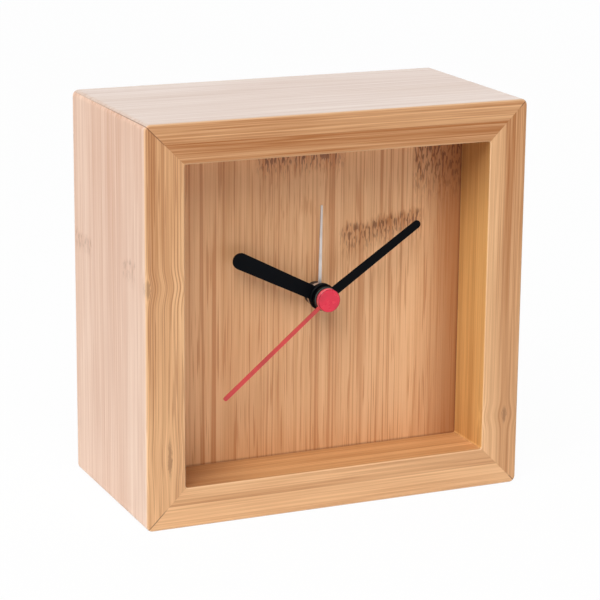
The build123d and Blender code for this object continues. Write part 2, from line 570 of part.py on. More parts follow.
with BuildPart() as front_housing:
    with BuildSketch(station(PLATE_REAR, HOUSING_PLACE)):
        RectangleRounded(2 * HOUSING_REACH, HOUSING_HEIGHT, HOUSING_CORNER_RADIUS)
    extrude(amount=PLATE_REAR - HOUSING_FRONT)
    with BuildSketch(station(HOUSING_FRONT + EAR_THICKNESS)):
        SlotCenterToCenter(2 * EAR_X, 2 * EAR_RADIUS)
    extrude(amount=EAR_THICKNESS)
    with BuildSketch(station(PLATE_REAR, HOUSING_PLACE)):
        RectangleRounded(2 * INSIDE_REACH, HOUSING_HEIGHT - 2 * HOUSING_WALL, INSIDE_RADIUS)
    extrude(amount=PLATE_REAR - CHAMBER_FRONT, mode=Mode.SUBTRACT)
    with BuildSketch(station(HOUSING_FRONT + EAR_THICKNESS)):
        with Locations(*EAR_PLACES):
            Circle(MOVEMENT_SCREW_RADIUS + SCREW_CLEARANCE)
    extrude(amount=EAR_THICKNESS, mode=Mode.SUBTRACT)
    with BuildSketch(station(CHAMBER_FRONT)):
        Circle(BUSH_RADIUS)
    extrude(amount=CHAMBER_FRONT - BUSH_FRONT)
    with BuildSketch(station(PLATE_FRONT)):
        with Locations(*POST_PLACES):
            Circle(POST_RADIUS)
    extrude(amount=PLATE_FRONT - CHAMBER_FRONT)
    with BuildSketch(station(PLATE_REAR)):
        with Locations(*POST_PLACES):
            Circle(POST_PIN_RADIUS)
    extrude(amount=PLATE_THICKNESS)
    with BuildSketch(station(TIME_BEARING_REAR, TIME_KNOB_PLACE)):
        Circle(BEARING_BORE + BEARING_WALL)
    extrude(amount=TIME_BEARING_REAR - CHAMBER_FRONT)
    with BuildSketch(station(CHAMBER_FRONT)):
        Circle(BUSH_BORE)
    extrude(amount=CHAMBER_FRONT - BUSH_FRONT, mode=Mode.SUBTRACT)
    with BuildSketch(station(TIME_BEARING_REAR, TIME_KNOB_PLACE)):
        Circle(BEARING_BORE)
    extrude(amount=PIVOT_LENGTH + RUNNING_CLEARANCE, mode=Mode.SUBTRACT)
    with BuildSketch(station(CHAMBER_FRONT, ALARM_KNOB_PLACE)):
        Circle(BEARING_BORE)
    extrude(amount=CHAMBER_FRONT - ALARM_PIVOT_FRONT + RUNNING_CLEARANCE, mode=Mode.SUBTRACT)
finish(front_housing, "movement_front_housing")

with BuildPart() as movement_screws:
    with BuildSketch(station(HOUSING_FRONT + EAR_THICKNESS + MOVEMENT_SCREW_HEAD_HEIGHT)):
        with Locations(*EAR_PLACES):
            Circle(MOVEMENT_SCREW_HEAD_RADIUS)
    extrude(amount=MOVEMENT_SCREW_HEAD_HEIGHT)
    with BuildSketch(station(HOUSING_FRONT + EAR_THICKNESS)):
        with Locations(*EAR_PLACES):
            Circle(MOVEMENT_SCREW_RADIUS)
    extrude(amount=EAR_THICKNESS + MOVEMENT_SCREW_BITE)
    with BuildSketch(station(HOUSING_FRONT + EAR_THICKNESS + MOVEMENT_SCREW_HEAD_HEIGHT)):
        with Locations(*EAR_PLACES):
            Rectangle(2 * MOVEMENT_SCREW_RADIUS, SCREW_SLOT_WIDTH)
            Rectangle(SCREW_SLOT_WIDTH, 2 * MOVEMENT_SCREW_RADIUS)
    extrude(amount=SCREW_SLOT_DEPTH, mode=Mode.SUBTRACT)
finish(movement_screws, "movement_screws")

# Train plate: carries the going train's front pivots, the motion stud, the stator and the leaf spring
PLATE_TOP = INSIDE_TOP - HOUSING_CLEARANCE
PLATE_BOTTOM = BAY_TOP + HOUSING_CLEARANCE
NOTCH_LEFT = COIL_PLACE[0] - BOBBIN_FLANGE_RADIUS - HOUSING_CLEARANCE
LEAF_TIP_REACH = LEAF_TIP_SHARE * tip_radius(HOUR_MODULE, HOUR_WHEEL_TEETH)
LEAF_TIP = polar(LEAF_TIP_REACH, LEAF_ANGLE)
LEAF_ANCHOR = polar(LEAF_TIP_REACH + LEAF_LENGTH, LEAF_ANGLE)
LEAF_MIDDLE = polar(LEAF_TIP_REACH + LEAF_LENGTH / 2, LEAF_ANGLE)
LEAF_REAR = HOUR_WHEEL_REAR + LEAF_LIFT + LEAF_THICKNESS
STUD_FRONT = HOUR_WHEEL_FRONT - LAYER_GAP / 2
SHAFT_BORE = KNOB_SHAFT_RADIUS + RUNNING_CLEARANCE

with BuildPart() as train_plate:
    with BuildSketch(station(PLATE_REAR, (0, (PLATE_TOP + PLATE_BOTTOM) / 2))):
        RectangleRounded(2 * (INSIDE_REACH - HOUSING_CLEARANCE), PLATE_TOP - PLATE_BOTTOM, INSIDE_RADIUS)
    extrude(amount=PLATE_THICKNESS)
    with BuildSketch(station(PLATE_REAR)):
        with Locations((NOTCH_LEFT, COIL_RISE)):
            Rectangle(
                INSIDE_REACH - NOTCH_LEFT,
                COIL_LENGTH + 2 * HOUSING_CLEARANCE,
                align=(Align.MIN, Align.CENTER),
            )
        with Locations(*POST_PLACES):
            Circle(POST_PIN_RADIUS + RUNNING_CLEARANCE)
        with Locations(THIRD_PLACE, INTERMEDIATE_PLACE, ROTOR_PLACE):
            Circle(BEARING_BORE)
        with Locations(TIME_KNOB_PLACE, ALARM_KNOB_PLACE):
            Circle(SHAFT_BORE)
        Circle(MINUTE_PIPE_RADIUS + RUNNING_CLEARANCE)
    extrude(amount=PLATE_THICKNESS, mode=Mode.SUBTRACT)
    with BuildSketch(station(PLATE_FRONT, MOTION_PLACE)):
        Circle(STUD_RADIUS)
    extrude(amount=PLATE_FRONT - STUD_FRONT)
    with BuildSketch(station(PLATE_FRONT, LEAF_ANCHOR)):
        Circle(LEAF_POST_RADIUS)
    extrude(amount=PLATE_FRONT - LEAF_REAR)
    with BuildSketch(station(STATOR_FRONT)):
        with Locations(LUG_BOTTOM, LUG_TOP):
            Circle(STATOR_POST_RADIUS)
    extrude(amount=STATOR_FRONT - PLATE_REAR)
    with BuildSketch(station(STATOR_REAR)):
        with Locations(LUG_BOTTOM, LUG_TOP):
            Circle(POST_PIN_RADIUS)
    extrude(amount=STATOR_THICKNESS)
finish(train_plate, "train_plate")

with BuildPart() as alarm_leaf_spring:
    with BuildSketch(station(LEAF_REAR)):
        SlotCenterPoint(LEAF_MIDDLE, LEAF_TIP, LEAF_WIDTH)
        with Locations(LEAF_ANCHOR):
            Circle(LEAF_POST_RADIUS)
    extrude(amount=LEAF_THICKNESS)
finish(alarm_leaf_spring, "alarm_leaf_spring")

# Rear cover: walls, bearings and posts, the battery bay's partition, and openings for the controls
with BuildPart() as rear_cover:
    with BuildSketch(station(COVER_REAR, HOUSING_PLACE)):
        RectangleRounded(2 * HOUSING_REACH, HOUSING_HEIGHT, HOUSING_CORNER_RADIUS)
    extrude(amount=COVER_REAR - PLATE_REAR)
    fillet(rear_cover.faces().sort_by(Axis.Y)[-1].edges(), COVER_EDGE_RADIUS)
    with BuildSketch(station(COVER_INSIDE, HOUSING_PLACE)):
        RectangleRounded(2 * INSIDE_REACH, HOUSING_HEIGHT - 2 * HOUSING_WALL, INSIDE_RADIUS)
    extrude(amount=COVER_INSIDE - PLATE_REAR, mode=Mode.SUBTRACT)
    with BuildSketch(station(COVER_INSIDE, (0, BAY_TOP - HOUSING_WALL / 2))):
        Rectangle(2 * (INSIDE_REACH - HOUSING_CLEARANCE), HOUSING_WALL)
    extrude(amount=COVER_INSIDE - CHAMBER_FRONT - HOUSING_CLEARANCE)
    with BuildSketch(station(COVER_INSIDE)):
        with Locations(CENTRE, THIRD_PLACE, INTERMEDIATE_PLACE, ROTOR_PLACE):
            Circle(BEARING_BORE + BEARING_WALL)
    extrude(amount=COVER_INSIDE - BEARING_FRONT)
    with BuildSketch(station(COVER_INSIDE, CIRCUIT_PLACE)):
        with GridLocations(0, CIRCUIT_HEIGHT - 4 * CIRCUIT_POST_RADIUS, 1, 2):
            Circle(CIRCUIT_POST_RADIUS)
    extrude(amount=CIRCUIT_STANDOFF)
    with BuildSketch(station(PIVOT_REAR + HOUSING_CLEARANCE)):
        with Locations(THIRD_PLACE, INTERMEDIATE_PLACE, ROTOR_PLACE):
            Circle(BEARING_BORE)
        Circle(SECOND_ARBOR_RADIUS + RUNNING_CLEARANCE)
    extrude(amount=PIVOT_REAR + HOUSING_CLEARANCE - BEARING_FRONT, mode=Mode.SUBTRACT)
    with BuildSketch(station(COVER_REAR)):
        with Locations(TIME_KNOB_PLACE, ALARM_KNOB_PLACE):
            Circle(SHAFT_BORE)
        with Locations(SWITCH_PLACE):
            Rectangle(
                SWITCH_NECK_LENGTH + SWITCH_TRAVEL + 2 * SWITCH_CLEARANCE,
                SWITCH_NECK_WIDTH + 2 * SWITCH_CLEARANCE,
            )
        with Locations(CELL_PLACE):
            Rectangle(DOOR_WIDTH, BAY_HEIGHT)
        with Locations(SOUNDER_PLACE):
            Circle(SOUND_HOLE_RADIUS)
            with PolarLocations(SOUND_HOLE_RING_RADIUS, SOUND_HOLE_COUNT):
                Circle(SOUND_HOLE_RADIUS)
    extrude(amount=HOUSING_WALL, mode=Mode.SUBTRACT)
finish(rear_cover, "movement_rear_cover")

# Circuit board on the cover's posts, with the crystal and the chip on its front, and the sounder beside it
with BuildPart() as circuit_board:
    with BuildSketch(station(CIRCUIT_REAR, CIRCUIT_PLACE)):
        Rectangle(CIRCUIT_WIDTH, CIRCUIT_HEIGHT)
    extrude(amount=CIRCUIT_THICKNESS)
finish(circuit_board, "circuit_board")

with BuildPart() as quartz_crystal:
    can_plane = station(CIRCUIT_FRONT - CRYSTAL_RADIUS, CIRCUIT_PLACE)
    with BuildSketch(Plane(origin=can_plane.origin, x_dir=(1, 0, 0), z_dir=(0, 0, -1))):
        Circle(CRYSTAL_RADIUS)
    extrude(amount=CRYSTAL_LENGTH)
    chamfer(quartz_crystal.faces().sort_by(Axis.Z)[0].edges(), CRYSTAL_RADIUS / 2)
finish(quartz_crystal, "quartz_crystal")

with BuildPart() as controller_chip:
    with BuildSketch(station(CIRCUIT_FRONT, (CIRCUIT_PLACE[0], CIRCUIT_PLACE[1] + CHIP_RISE))):
        Circle(CHIP_RADIUS)
    extrude(amount=CHIP_HEIGHT)
    chamfer(controller_chip.faces().sort_by(Axis.Y)[0].edges(), CHIP_HEIGHT / 2)
finish(controller_chip, "controller_chip")

with BuildPart() as sounder:
    with BuildSketch(station(COVER_INSIDE, SOUNDER_PLACE)):
        Circle(SOUNDER_RADIUS)
    extrude(amount=SOUNDER_HEIGHT)
    chamfer(sounder.faces().sort_by(Axis.Y)[0].edges(), SOUNDER_EDGE_CHAMFER)
    with BuildSketch(station(COVER_INSIDE, SOUNDER_PLACE)):
        Circle(SOUND_HOLE_RADIUS)
    extrude(amount=SOUNDER_HEIGHT / 2, mode=Mode.SUBTRACT)
finish(sounder, "sounder")

# Stepping motor: a stator plate round the rotor, with its coil on a core across the two lugs
STATOR_ARM_X = ROTOR_PLACE[0] + STATOR_ARM_OFFSET

with BuildPart() as motor_stator:
    with BuildSketch(station(STATOR_REAR)):
        with Locations(ROTOR_PLACE):
            Circle(STATOR_RADIUS)
        SlotCenterPoint(
            (STATOR_ARM_X, (LUG_TOP[1] + LUG_BOTTOM[1]) / 2), (STATOR_ARM_X, LUG_TOP[1]), STATOR_ARM_WIDTH
        )
        for lug in (LUG_BOTTOM, LUG_TOP):
            SlotCenterPoint(((STATOR_ARM_X + lug[0]) / 2, lug[1]), lug, STATOR_ARM_WIDTH)
        with Locations(ROTOR_PLACE):
            Circle(ROTOR_RADIUS + ROTOR_GAP, mode=Mode.SUBTRACT)
        with Locations(LUG_BOTTOM, LUG_TOP):
            Circle(POST_PIN_RADIUS + RUNNING_CLEARANCE, mode=Mode.SUBTRACT)
    extrude(amount=STATOR_THICKNESS)
finish(motor_stator, "motor_stator")

with BuildPart() as motor_coil_core:
    with BuildSketch(station(STATOR_REAR + CORE_THICKNESS, COIL_PLACE)):
        Rectangle(CORE_WIDTH, COIL_LENGTH + 2 * CORE_OVERHANG)
    extrude(amount=CORE_THICKNESS)
finish(motor_coil_core, "motor_coil_core")


def coil_plane(rise):
    """A plane across the coil's axis, this far above the coil's lower end."""
    low_end = station(COIL_DEPTH, (COIL_PLACE[0], COIL_RISE - COIL_LENGTH / 2 + rise))
    return Plane(origin=low_end.origin, x_dir=(1, 0, 0), z_dir=(0, 0, 1))


with BuildPart() as motor_coil_bobbin:
    with BuildSketch(coil_plane(0), coil_plane(COIL_LENGTH - BOBBIN_FLANGE_THICKNESS)):
        Circle(BOBBIN_FLANGE_RADIUS)
    extrude(amount=BOBBIN_FLANGE_THICKNESS)
    with BuildSketch(coil_plane(0)):
        Circle(BOBBIN_TUBE_RADIUS)
    extrude(amount=COIL_LENGTH)
    with BuildSketch(coil_plane(0)):
        Rectangle(CORE_WIDTH + 2 * RUNNING_CLEARANCE, CORE_THICKNESS + 2 * RUNNING_CLEARANCE)
    extrude(amount=COIL_LENGTH, mode=Mode.SUBTRACT)
finish(motor_coil_bobbin, "motor_coil_bobbin")

with BuildPart() as motor_coil_winding:
    with BuildSketch(coil_plane(BOBBIN_FLANGE_THICKNESS + RUNNING_CLEARANCE)):
        Circle(COIL_RADIUS)
        Circle(BOBBIN_TUBE_RADIUS + RUNNING_CLEARANCE, mode=Mode.SUBTRACT)
    extrude(amount=COIL_LENGTH - 2 * (BOBBIN_FLANGE_THICKNESS + RUNNING_CLEARANCE))
finish(motor_coil_winding, "motor_coil_winding")

# Battery: a cell between two bumped contacts
for contact_name, side in (("negative_contact", -1), ("positive_contact", 1)):
    with BuildPart() as battery_contact:
        wall_place = station(CELL_DEPTH, (side * INSIDE_REACH, CELL_PLACE[1])).origin
        wall_plane = Plane(origin=wall_place, x_dir=(0, 1, 0), z_dir=(-side, 0, 0))
        with BuildSketch(wall_plane):
            RectangleRounded(CONTACT_SIZE, CONTACT_SIZE, CONTACT_CORNER_RADIUS)
        extrude(amount=CONTACT_THICKNESS)
        with BuildSketch(wall_plane):
            Circle(CONTACT_BUMP_RADIUS)
        extrude(amount=CONTACT_THICKNESS + CONTACT_BUMP_HEIGHT)
        bump_face = battery_contact.faces().filter_by(Axis.X).sort_by(Axis.X, reverse=side < 0)[0]
        chamfer(bump_face.edges(), CONTACT_BUMP_HEIGHT / 2)
    finish(battery_contact, contact_name)

with BuildPart() as battery_cell:
    cell_end = station(CELL_DEPTH, (-CELL_LENGTH / 2, CELL_PLACE[1])).origin
    end_plane = Plane(origin=cell_end, x_dir=(0, 1, 0), z_dir=(1, 0, 0))
    with BuildSketch(end_plane):
        Circle(CELL_RADIUS)
    extrude(amount=CELL_LENGTH - CELL_NUB_HEIGHT)
    chamfer(battery_cell.edges().filter_by(GeomType.CIRCLE), CELL_EDGE_CHAMFER)
    with BuildSketch(end_plane):
        Circle(CELL_NUB_RADIUS)
    extrude(amount=CELL_LENGTH)
finish(battery_cell, "battery_cell")

# Going train: the rotor drives the second wheel through the intermediate, and that drives the centre wheel
with BuildPart() as rotor_pinion:
    with BuildSketch(station(PIVOT_REAR, ROTOR_PLACE)):
        Circle(ARBOR_RADIUS)
    extrude(amount=PIVOT_REAR - PLATE_FRONT)
    with BuildSketch(station(INTERMEDIATE_WHEEL_REAR, ROTOR_PLACE)):
        toothed_outline(ROTOR_PINION_TEETH, ROTOR_MODULE)
    extrude(amount=GOING_WHEEL_THICKNESS)
finish(rotor_pinion, "rotor_pinion")

with BuildPart() as rotor_magnet:
    with BuildSketch(station(DRIVE_WHEEL_FRONT + ROTOR_HEIGHT, ROTOR_PLACE)):
        Circle(ROTOR_RADIUS)
        Circle(ARBOR_RADIUS + PRESS_CLEARANCE, mode=Mode.SUBTRACT)
    extrude(amount=ROTOR_HEIGHT)
finish(rotor_magnet, "rotor_magnet")

with BuildPart() as intermediate_wheel:
    with BuildSketch(station(PIVOT_REAR, INTERMEDIATE_PLACE)):
        Circle(ARBOR_RADIUS)
    extrude(amount=PIVOT_REAR - PLATE_FRONT)
    with BuildSketch(station(INTERMEDIATE_WHEEL_FRONT, INTERMEDIATE_PLACE)):
        toothed_outline(INTERMEDIATE_PINION_TEETH, SECOND_MODULE)
    extrude(amount=INTERMEDIATE_WHEEL_FRONT - SECOND_WHEEL_FRONT)
    with BuildSketch(station(INTERMEDIATE_WHEEL_REAR, INTERMEDIATE_PLACE)):
        toothed_outline(INTERMEDIATE_WHEEL_TEETH, ROTOR_MODULE, INTERMEDIATE_PHASE)
    extrude(amount=GOING_WHEEL_THICKNESS)
finish(intermediate_wheel, "intermediate_wheel")

with BuildPart() as second_wheel:
    with BuildSketch(station(PIVOT_REAR)):
        Circle(SECOND_ARBOR_RADIUS)
    extrude(amount=PIVOT_REAR - SECOND_COLLET_FRONT)
    with BuildSketch(station(SECOND_WHEEL_FRONT)):
        toothed_outline(SECOND_PINION_TEETH, THIRD_MODULE)
    extrude(amount=SECOND_WHEEL_FRONT - THIRD_WHEEL_FRONT)
    with BuildSketch(station(SECOND_WHEEL_REAR)):
        toothed_outline(SECOND_WHEEL_TEETH, SECOND_MODULE, SECOND_PHASE)
    extrude(amount=GOING_WHEEL_THICKNESS)
finish(second_wheel, "second_wheel")

with BuildPart() as third_wheel:
    with BuildSketch(station(PIVOT_REAR, THIRD_PLACE)):
        Circle(ARBOR_RADIUS)
    extrude(amount=PIVOT_REAR - PLATE_FRONT)
    with BuildSketch(station(THIRD_WHEEL_FRONT, THIRD_PLACE)):
        toothed_outline(THIRD_PINION_TEETH, TRAIN_MODULE)
    extrude(amount=THIRD_WHEEL_FRONT - DRIVE_WHEEL_FRONT)
    with BuildSketch(station(THIRD_WHEEL_REAR, THIRD_PLACE)):
        toothed_outline(THIRD_WHEEL_TEETH, THIRD_MODULE, THIRD_PHASE)
    extrude(amount=GOING_WHEEL_THICKNESS)
finish(third_wheel, "third_wheel")

with BuildPart() as centre_drive_wheel:
    with BuildSketch(station(DRIVE_WHEEL_REAR)):
        toothed_outline(DRIVE_WHEEL_TEETH, TRAIN_MODULE, DRIVE_PHASE)
        Circle(MINUTE_PIPE_RADIUS + RUNNING_CLEARANCE, mode=Mode.SUBTRACT)
    extrude(amount=GOING_WHEEL_THICKNESS)
finish(centre_drive_wheel, "centre_drive_wheel")

# Motion work: the minute pipe turns the motion wheel on its stud, and that turns the hour wheel
with BuildPart() as minute_pipe:
    with BuildSketch(station(DRIVE_WHEEL_REAR)):
        Circle(MINUTE_PIPE_RADIUS)
    extrude(amount=DRIVE_WHEEL_REAR - MINUTE_HUB_FRONT - PIPE_SETBACK)
    with BuildSketch(station(MOTION_WHEEL_REAR)):
        toothed_outline(MINUTE_PINION_TEETH, MOTION_MODULE)
    extrude(amount=MOTION_WHEEL_THICKNESS)
    with BuildSketch(station(DRIVE_WHEEL_REAR)):
        Circle(MINUTE_BORE)
    extrude(amount=DRIVE_WHEEL_REAR - MINUTE_HUB_FRONT, mode=Mode.SUBTRACT)
finish(minute_pipe, "minute_pipe")

with BuildPart() as motion_wheel:
    with BuildSketch(station(MOTION_WHEEL_REAR, MOTION_PLACE)):
        toothed_outline(MOTION_WHEEL_TEETH, MOTION_MODULE, MOTION_PHASE)
    extrude(amount=MOTION_WHEEL_THICKNESS)
    with BuildSketch(station(MOTION_WHEEL_FRONT, MOTION_PLACE)):
        toothed_outline(MOTION_PINION_TEETH, HOUR_MODULE)
    extrude(amount=MOTION_WHEEL_FRONT - HOUR_WHEEL_FRONT)
    with BuildSketch(station(MOTION_WHEEL_REAR, MOTION_PLACE)):
        Circle(STUD_RADIUS + RUNNING_CLEARANCE)
    extrude(amount=MOTION_WHEEL_REAR - HOUR_WHEEL_FRONT, mode=Mode.SUBTRACT)
finish(motion_wheel, "motion_wheel")

with BuildPart() as hour_wheel:
    with BuildSketch(station(HOUR_WHEEL_REAR)):
        toothed_outline(HOUR_WHEEL_TEETH, HOUR_MODULE, HOUR_PHASE)
    extrude(amount=MOTION_WHEEL_THICKNESS)
    with BuildSketch(station(HOUR_WHEEL_FRONT)):
        Circle(HOUR_PIPE_RADIUS)
    extrude(amount=HOUR_WHEEL_FRONT - HOUR_HUB_FRONT - PIPE_SETBACK)
    with BuildSketch(station(HOUR_WHEEL_REAR)):
        Circle(HOUR_BORE)
    extrude(amount=HOUR_WHEEL_REAR - HOUR_HUB_FRONT, mode=Mode.SUBTRACT)
finish(hour_wheel, "hour_wheel")

with BuildPart() as alarm_wheel:
    with BuildSketch(station(ALARM_WHEEL_REAR)):
        toothed_outline(ALARM_WHEEL_TEETH, ALARM_MODULE)
    extrude(amount=MOTION_WHEEL_THICKNESS)
    with BuildSketch(station(ALARM_WHEEL_FRONT)):
        Circle(ALARM_PIPE_RADIUS)
    extrude(amount=ALARM_WHEEL_FRONT - ALARM_HUB_FRONT - PIPE_SETBACK)
    with BuildSketch(station(ALARM_WHEEL_REAR)):
        Circle(ALARM_BORE)
    extrude(amount=ALARM_WHEEL_REAR - ALARM_HUB_FRONT, mode=Mode.SUBTRACT)
finish(alarm_wheel, "alarm_wheel")

# Hands: each is a thin blade on a hub that presses on its pipe
with BuildPart() as alarm_hand:
    with BuildSketch(station(ALARM_HUB_REAR)):
        Circle(ALARM_HUB_RADIUS)
    extrude(amount=ALARM_HUB_HEIGHT)
    chamfer(alarm_hand.faces().sort_by(Axis.Y)[0].edges(), HUB_EDGE_CHAMFER)
    with BuildSketch(station(ALARM_HUB_REAR - ALARM_HUB_HEIGHT / 2)):
        hand_outline(ALARM_HAND_LENGTH, ALARM_HAND_ANGLE, ALARM_HAND_ROOT_WIDTH, ALARM_HAND_TIP_WIDTH)
    extrude(amount=ALARM_HAND_THICKNESS)
    with BuildSketch(station(ALARM_HUB_REAR)):
        Circle(ALARM_PIPE_RADIUS + PRESS_CLEARANCE)
    extrude(amount=ALARM_HUB_HEIGHT, mode=Mode.SUBTRACT)
finish(alarm_hand, "alarm_hand")

with BuildPart() as hour_hand:
    with BuildSketch(station(HOUR_HUB_REAR)):
        Circle(HOUR_HUB_RADIUS)
    extrude(amount=HOUR_HUB_HEIGHT)
    chamfer(hour_hand.faces().sort_by(Axis.Y)[0].edges(), HUB_EDGE_CHAMFER)
    with BuildSketch(station(HOUR_HUB_REAR - HOUR_HUB_HEIGHT / 4)):
        hand_outline(HOUR_HAND_LENGTH, HOUR_HAND_ANGLE, HOUR_HAND_ROOT_WIDTH, HOUR_HAND_TIP_WIDTH)
    extrude(amount=HOUR_HAND_THICKNESS)
    with BuildSketch(station(HOUR_HUB_REAR)):
        Circle(HOUR_PIPE_RADIUS + PRESS_CLEARANCE)
    extrude(amount=HOUR_HUB_HEIGHT, mode=Mode.SUBTRACT)
finish(hour_hand, "hour_hand")

with BuildPart() as minute_hand:
    with BuildSketch(station(MINUTE_HUB_REAR)):
        Circle(MINUTE_HUB_RADIUS)
    extrude(amount=MINUTE_HUB_HEIGHT)
    chamfer(minute_hand.faces().sort_by(Axis.Y)[0].edges(), HUB_EDGE_CHAMFER)
    with BuildSketch(station(MINUTE_HUB_REAR - MINUTE_HUB_HEIGHT / 4)):
        hand_outline(
            MINUTE_HAND_LENGTH, MINUTE_HAND_ANGLE, MINUTE_HAND_ROOT_WIDTH, MINUTE_HAND_TIP_WIDTH
        )
    extrude(amount=MINUTE_HAND_THICKNESS)
    with BuildSketch(station(MINUTE_HUB_REAR)):
        Circle(MINUTE_PIPE_RADIUS + PRESS_CLEARANCE)
    extrude(amount=MINUTE_HUB_HEIGHT, mode=Mode.SUBTRACT)
finish(minute_hand, "minute_hand")

with BuildPart() as second_hand:
    with BuildSketch(station(SECOND_HAND_REAR)):
        hand_outline(
            SECOND_HAND_LENGTH, SECOND_HAND_ANGLE, SECOND_HAND_ROOT_WIDTH, SECOND_HAND_TIP_WIDTH
        )
        Circle(CAP_RADIUS)
    extrude(amount=SECOND_HAND_THICKNESS)
    with BuildSketch(station(SECOND_HAND_FRONT)):
        Circle(SECOND_COLLET_RADIUS)
    extrude(amount=SECOND_COLLET_HEIGHT)
    with BuildSketch(station(SECOND_HAND_REAR)):
        Circle(SECOND_ARBOR_RADIUS + PRESS_CLEARANCE)
    extrude(amount=SECOND_HAND_REAR - SECOND_COLLET_FRONT, mode=Mode.SUBTRACT)
finish(second_hand, "second_hand")

with BuildPart() as second_hand_cap:
    with BuildSketch(station(SECOND_HAND_FRONT)):
        Circle(CAP_RADIUS)
    extrude(amount=CAP_HEIGHT)
    fillet(second_hand_cap.faces().sort_by(Axis.Y)[0].edges(), CAP_EDGE_RADIUS)
    with BuildSketch(station(SECOND_HAND_FRONT)):
        Circle(SECOND_COLLET_RADIUS + PRESS_CLEARANCE)
    extrude(amount=SECOND_COLLET_HEIGHT + PRESS_CLEARANCE, mode=Mode.SUBTRACT)
finish(second_hand_cap, "second_hand_cap")

# Setting works: two pinions on long shafts, with a fluted knob pressed on each behind the cover
SHAFT_REAR = KNOB_BORE_REAR - PRESS_CLEARANCE

with BuildPart() as time_set_pinion:
    with BuildSketch(station(SHAFT_REAR, TIME_KNOB_PLACE)):
        Circle(KNOB_SHAFT_RADIUS)
    extrude(amount=SHAFT_REAR - MOTION_WHEEL_REAR)
    with BuildSketch(station(MOTION_WHEEL_REAR, TIME_KNOB_PLACE)):
        toothed_outline(TIME_PINION_TEETH, MOTION_MODULE, TIME_PHASE)
    extrude(amount=MOTION_WHEEL_THICKNESS)
    with BuildSketch(station(MOTION_WHEEL_FRONT, TIME_KNOB_PLACE)):
        Circle(ARBOR_RADIUS)
    extrude(amount=MOTION_WHEEL_FRONT - TIME_PIVOT_FRONT)
finish(time_set_pinion, "time_set_pinion")

with BuildPart() as alarm_set_pinion:
    with BuildSketch(station(SHAFT_REAR, ALARM_KNOB_PLACE)):
        Circle(KNOB_SHAFT_RADIUS)
    extrude(amount=SHAFT_REAR - ALARM_WHEEL_REAR)
    with BuildSketch(station(ALARM_WHEEL_REAR, ALARM_KNOB_PLACE)):
        toothed_outline(ALARM_PINION_TEETH, ALARM_MODULE, ALARM_PINION_PHASE)
    extrude(amount=MOTION_WHEEL_THICKNESS)
    with BuildSketch(station(ALARM_WHEEL_FRONT, ALARM_KNOB_PLACE)):
        Circle(ARBOR_RADIUS)
    extrude(amount=ALARM_WHEEL_FRONT - ALARM_PIVOT_FRONT)
finish(alarm_set_pinion, "alarm_set_pinion")

KNOB_REAR = KNOB_FRONT + KNOB_HEIGHT
CROWN_RADIUS = KNOB_RADIUS - KNOB_CROWN_SETBACK

for knob_name, knob_place in (("time_set_knob", TIME_KNOB_PLACE), ("alarm_set_knob", ALARM_KNOB_PLACE)):
    with BuildPart() as setting_knob:
        with BuildSketch(station(KNOB_REAR - KNOB_CROWN_HEIGHT, knob_place)):
            Circle(KNOB_RADIUS)
            with PolarLocations(KNOB_RADIUS, KNOB_FLUTE_COUNT):
                Circle(KNOB_FLUTE_RADIUS, mode=Mode.SUBTRACT)
        extrude(amount=KNOB_HEIGHT - KNOB_CROWN_HEIGHT)
        with BuildSketch(station(KNOB_REAR, knob_place)):
            Circle(CROWN_RADIUS)
        extrude(amount=KNOB_CROWN_HEIGHT)
        chamfer(setting_knob.faces().sort_by(Axis.Y)[-1].edges(), KNOB_EDGE_CHAMFER)
        with BuildSketch(station(KNOB_REAR, knob_place)):
            with Locations((0, CROWN_RADIUS / 2)):
                Rectangle(KNOB_MARK_WIDTH, CROWN_RADIUS)
        extrude(amount=KNOB_MARK_DEPTH, mode=Mode.SUBTRACT)
        with BuildSketch(station(KNOB_BORE_REAR, knob_place)):
            Circle(KNOB_SHAFT_RADIUS + PRESS_CLEARANCE)
        extrude(amount=KNOB_BORE_DEPTH, mode=Mode.SUBTRACT)
    finish(setting_knob, knob_name)

# Alarm switch: a slider held behind the cover's wall, with a ridged thumb piece outside
SWITCH_REST = (SWITCH_PLACE[0] - SWITCH_TRAVEL / 2, SWITCH_PLACE[1])
SWITCH_PLATE_REAR = COVER_INSIDE - SWITCH_CLEARANCE
SWITCH_THUMB_FRONT = COVER_REAR + SWITCH_CLEARANCE
SWITCH_THUMB_REAR = SWITCH_THUMB_FRONT + SWITCH_THUMB_HEIGHT

with BuildPart() as alarm_switch_slider:
    with BuildSketch(station(SWITCH_PLATE_REAR, SWITCH_REST)):
        Rectangle(SWITCH_PLATE_LENGTH, SWITCH_PLATE_WIDTH)
    extrude(amount=SWITCH_PLATE_THICKNESS)
    with BuildSketch(station(SWITCH_THUMB_FRONT, SWITCH_REST)):
        Rectangle(SWITCH_NECK_LENGTH, SWITCH_NECK_WIDTH)
    extrude(amount=SWITCH_THUMB_FRONT - SWITCH_PLATE_REAR)
    with BuildSketch(station(SWITCH_THUMB_REAR, SWITCH_REST)):
        Rectangle(SWITCH_THUMB_LENGTH, SWITCH_THUMB_WIDTH)
    extrude(amount=SWITCH_THUMB_HEIGHT)
    with BuildSketch(station(SWITCH_THUMB_REAR, SWITCH_REST)):
        with GridLocations(SWITCH_RIDGE_PITCH, 0, SWITCH_RIDGE_COUNT, 1):
            Rectangle(SWITCH_RIDGE_PITCH / 2, SWITCH_THUMB_WIDTH)
    extrude(amount=SWITCH_RIDGE_DEPTH, mode=Mode.SUBTRACT)
finish(alarm_switch_slider, "alarm_switch_slider")

# Battery door: a plug in the bay's window behind a lip that rests on the cover, with finger ribs at one end
DOOR_REAR = COVER_REAR + DOOR_THICKNESS
RIB_ROW = DOOR_RIB_PITCH * (DOOR_RIB_COUNT - 1)

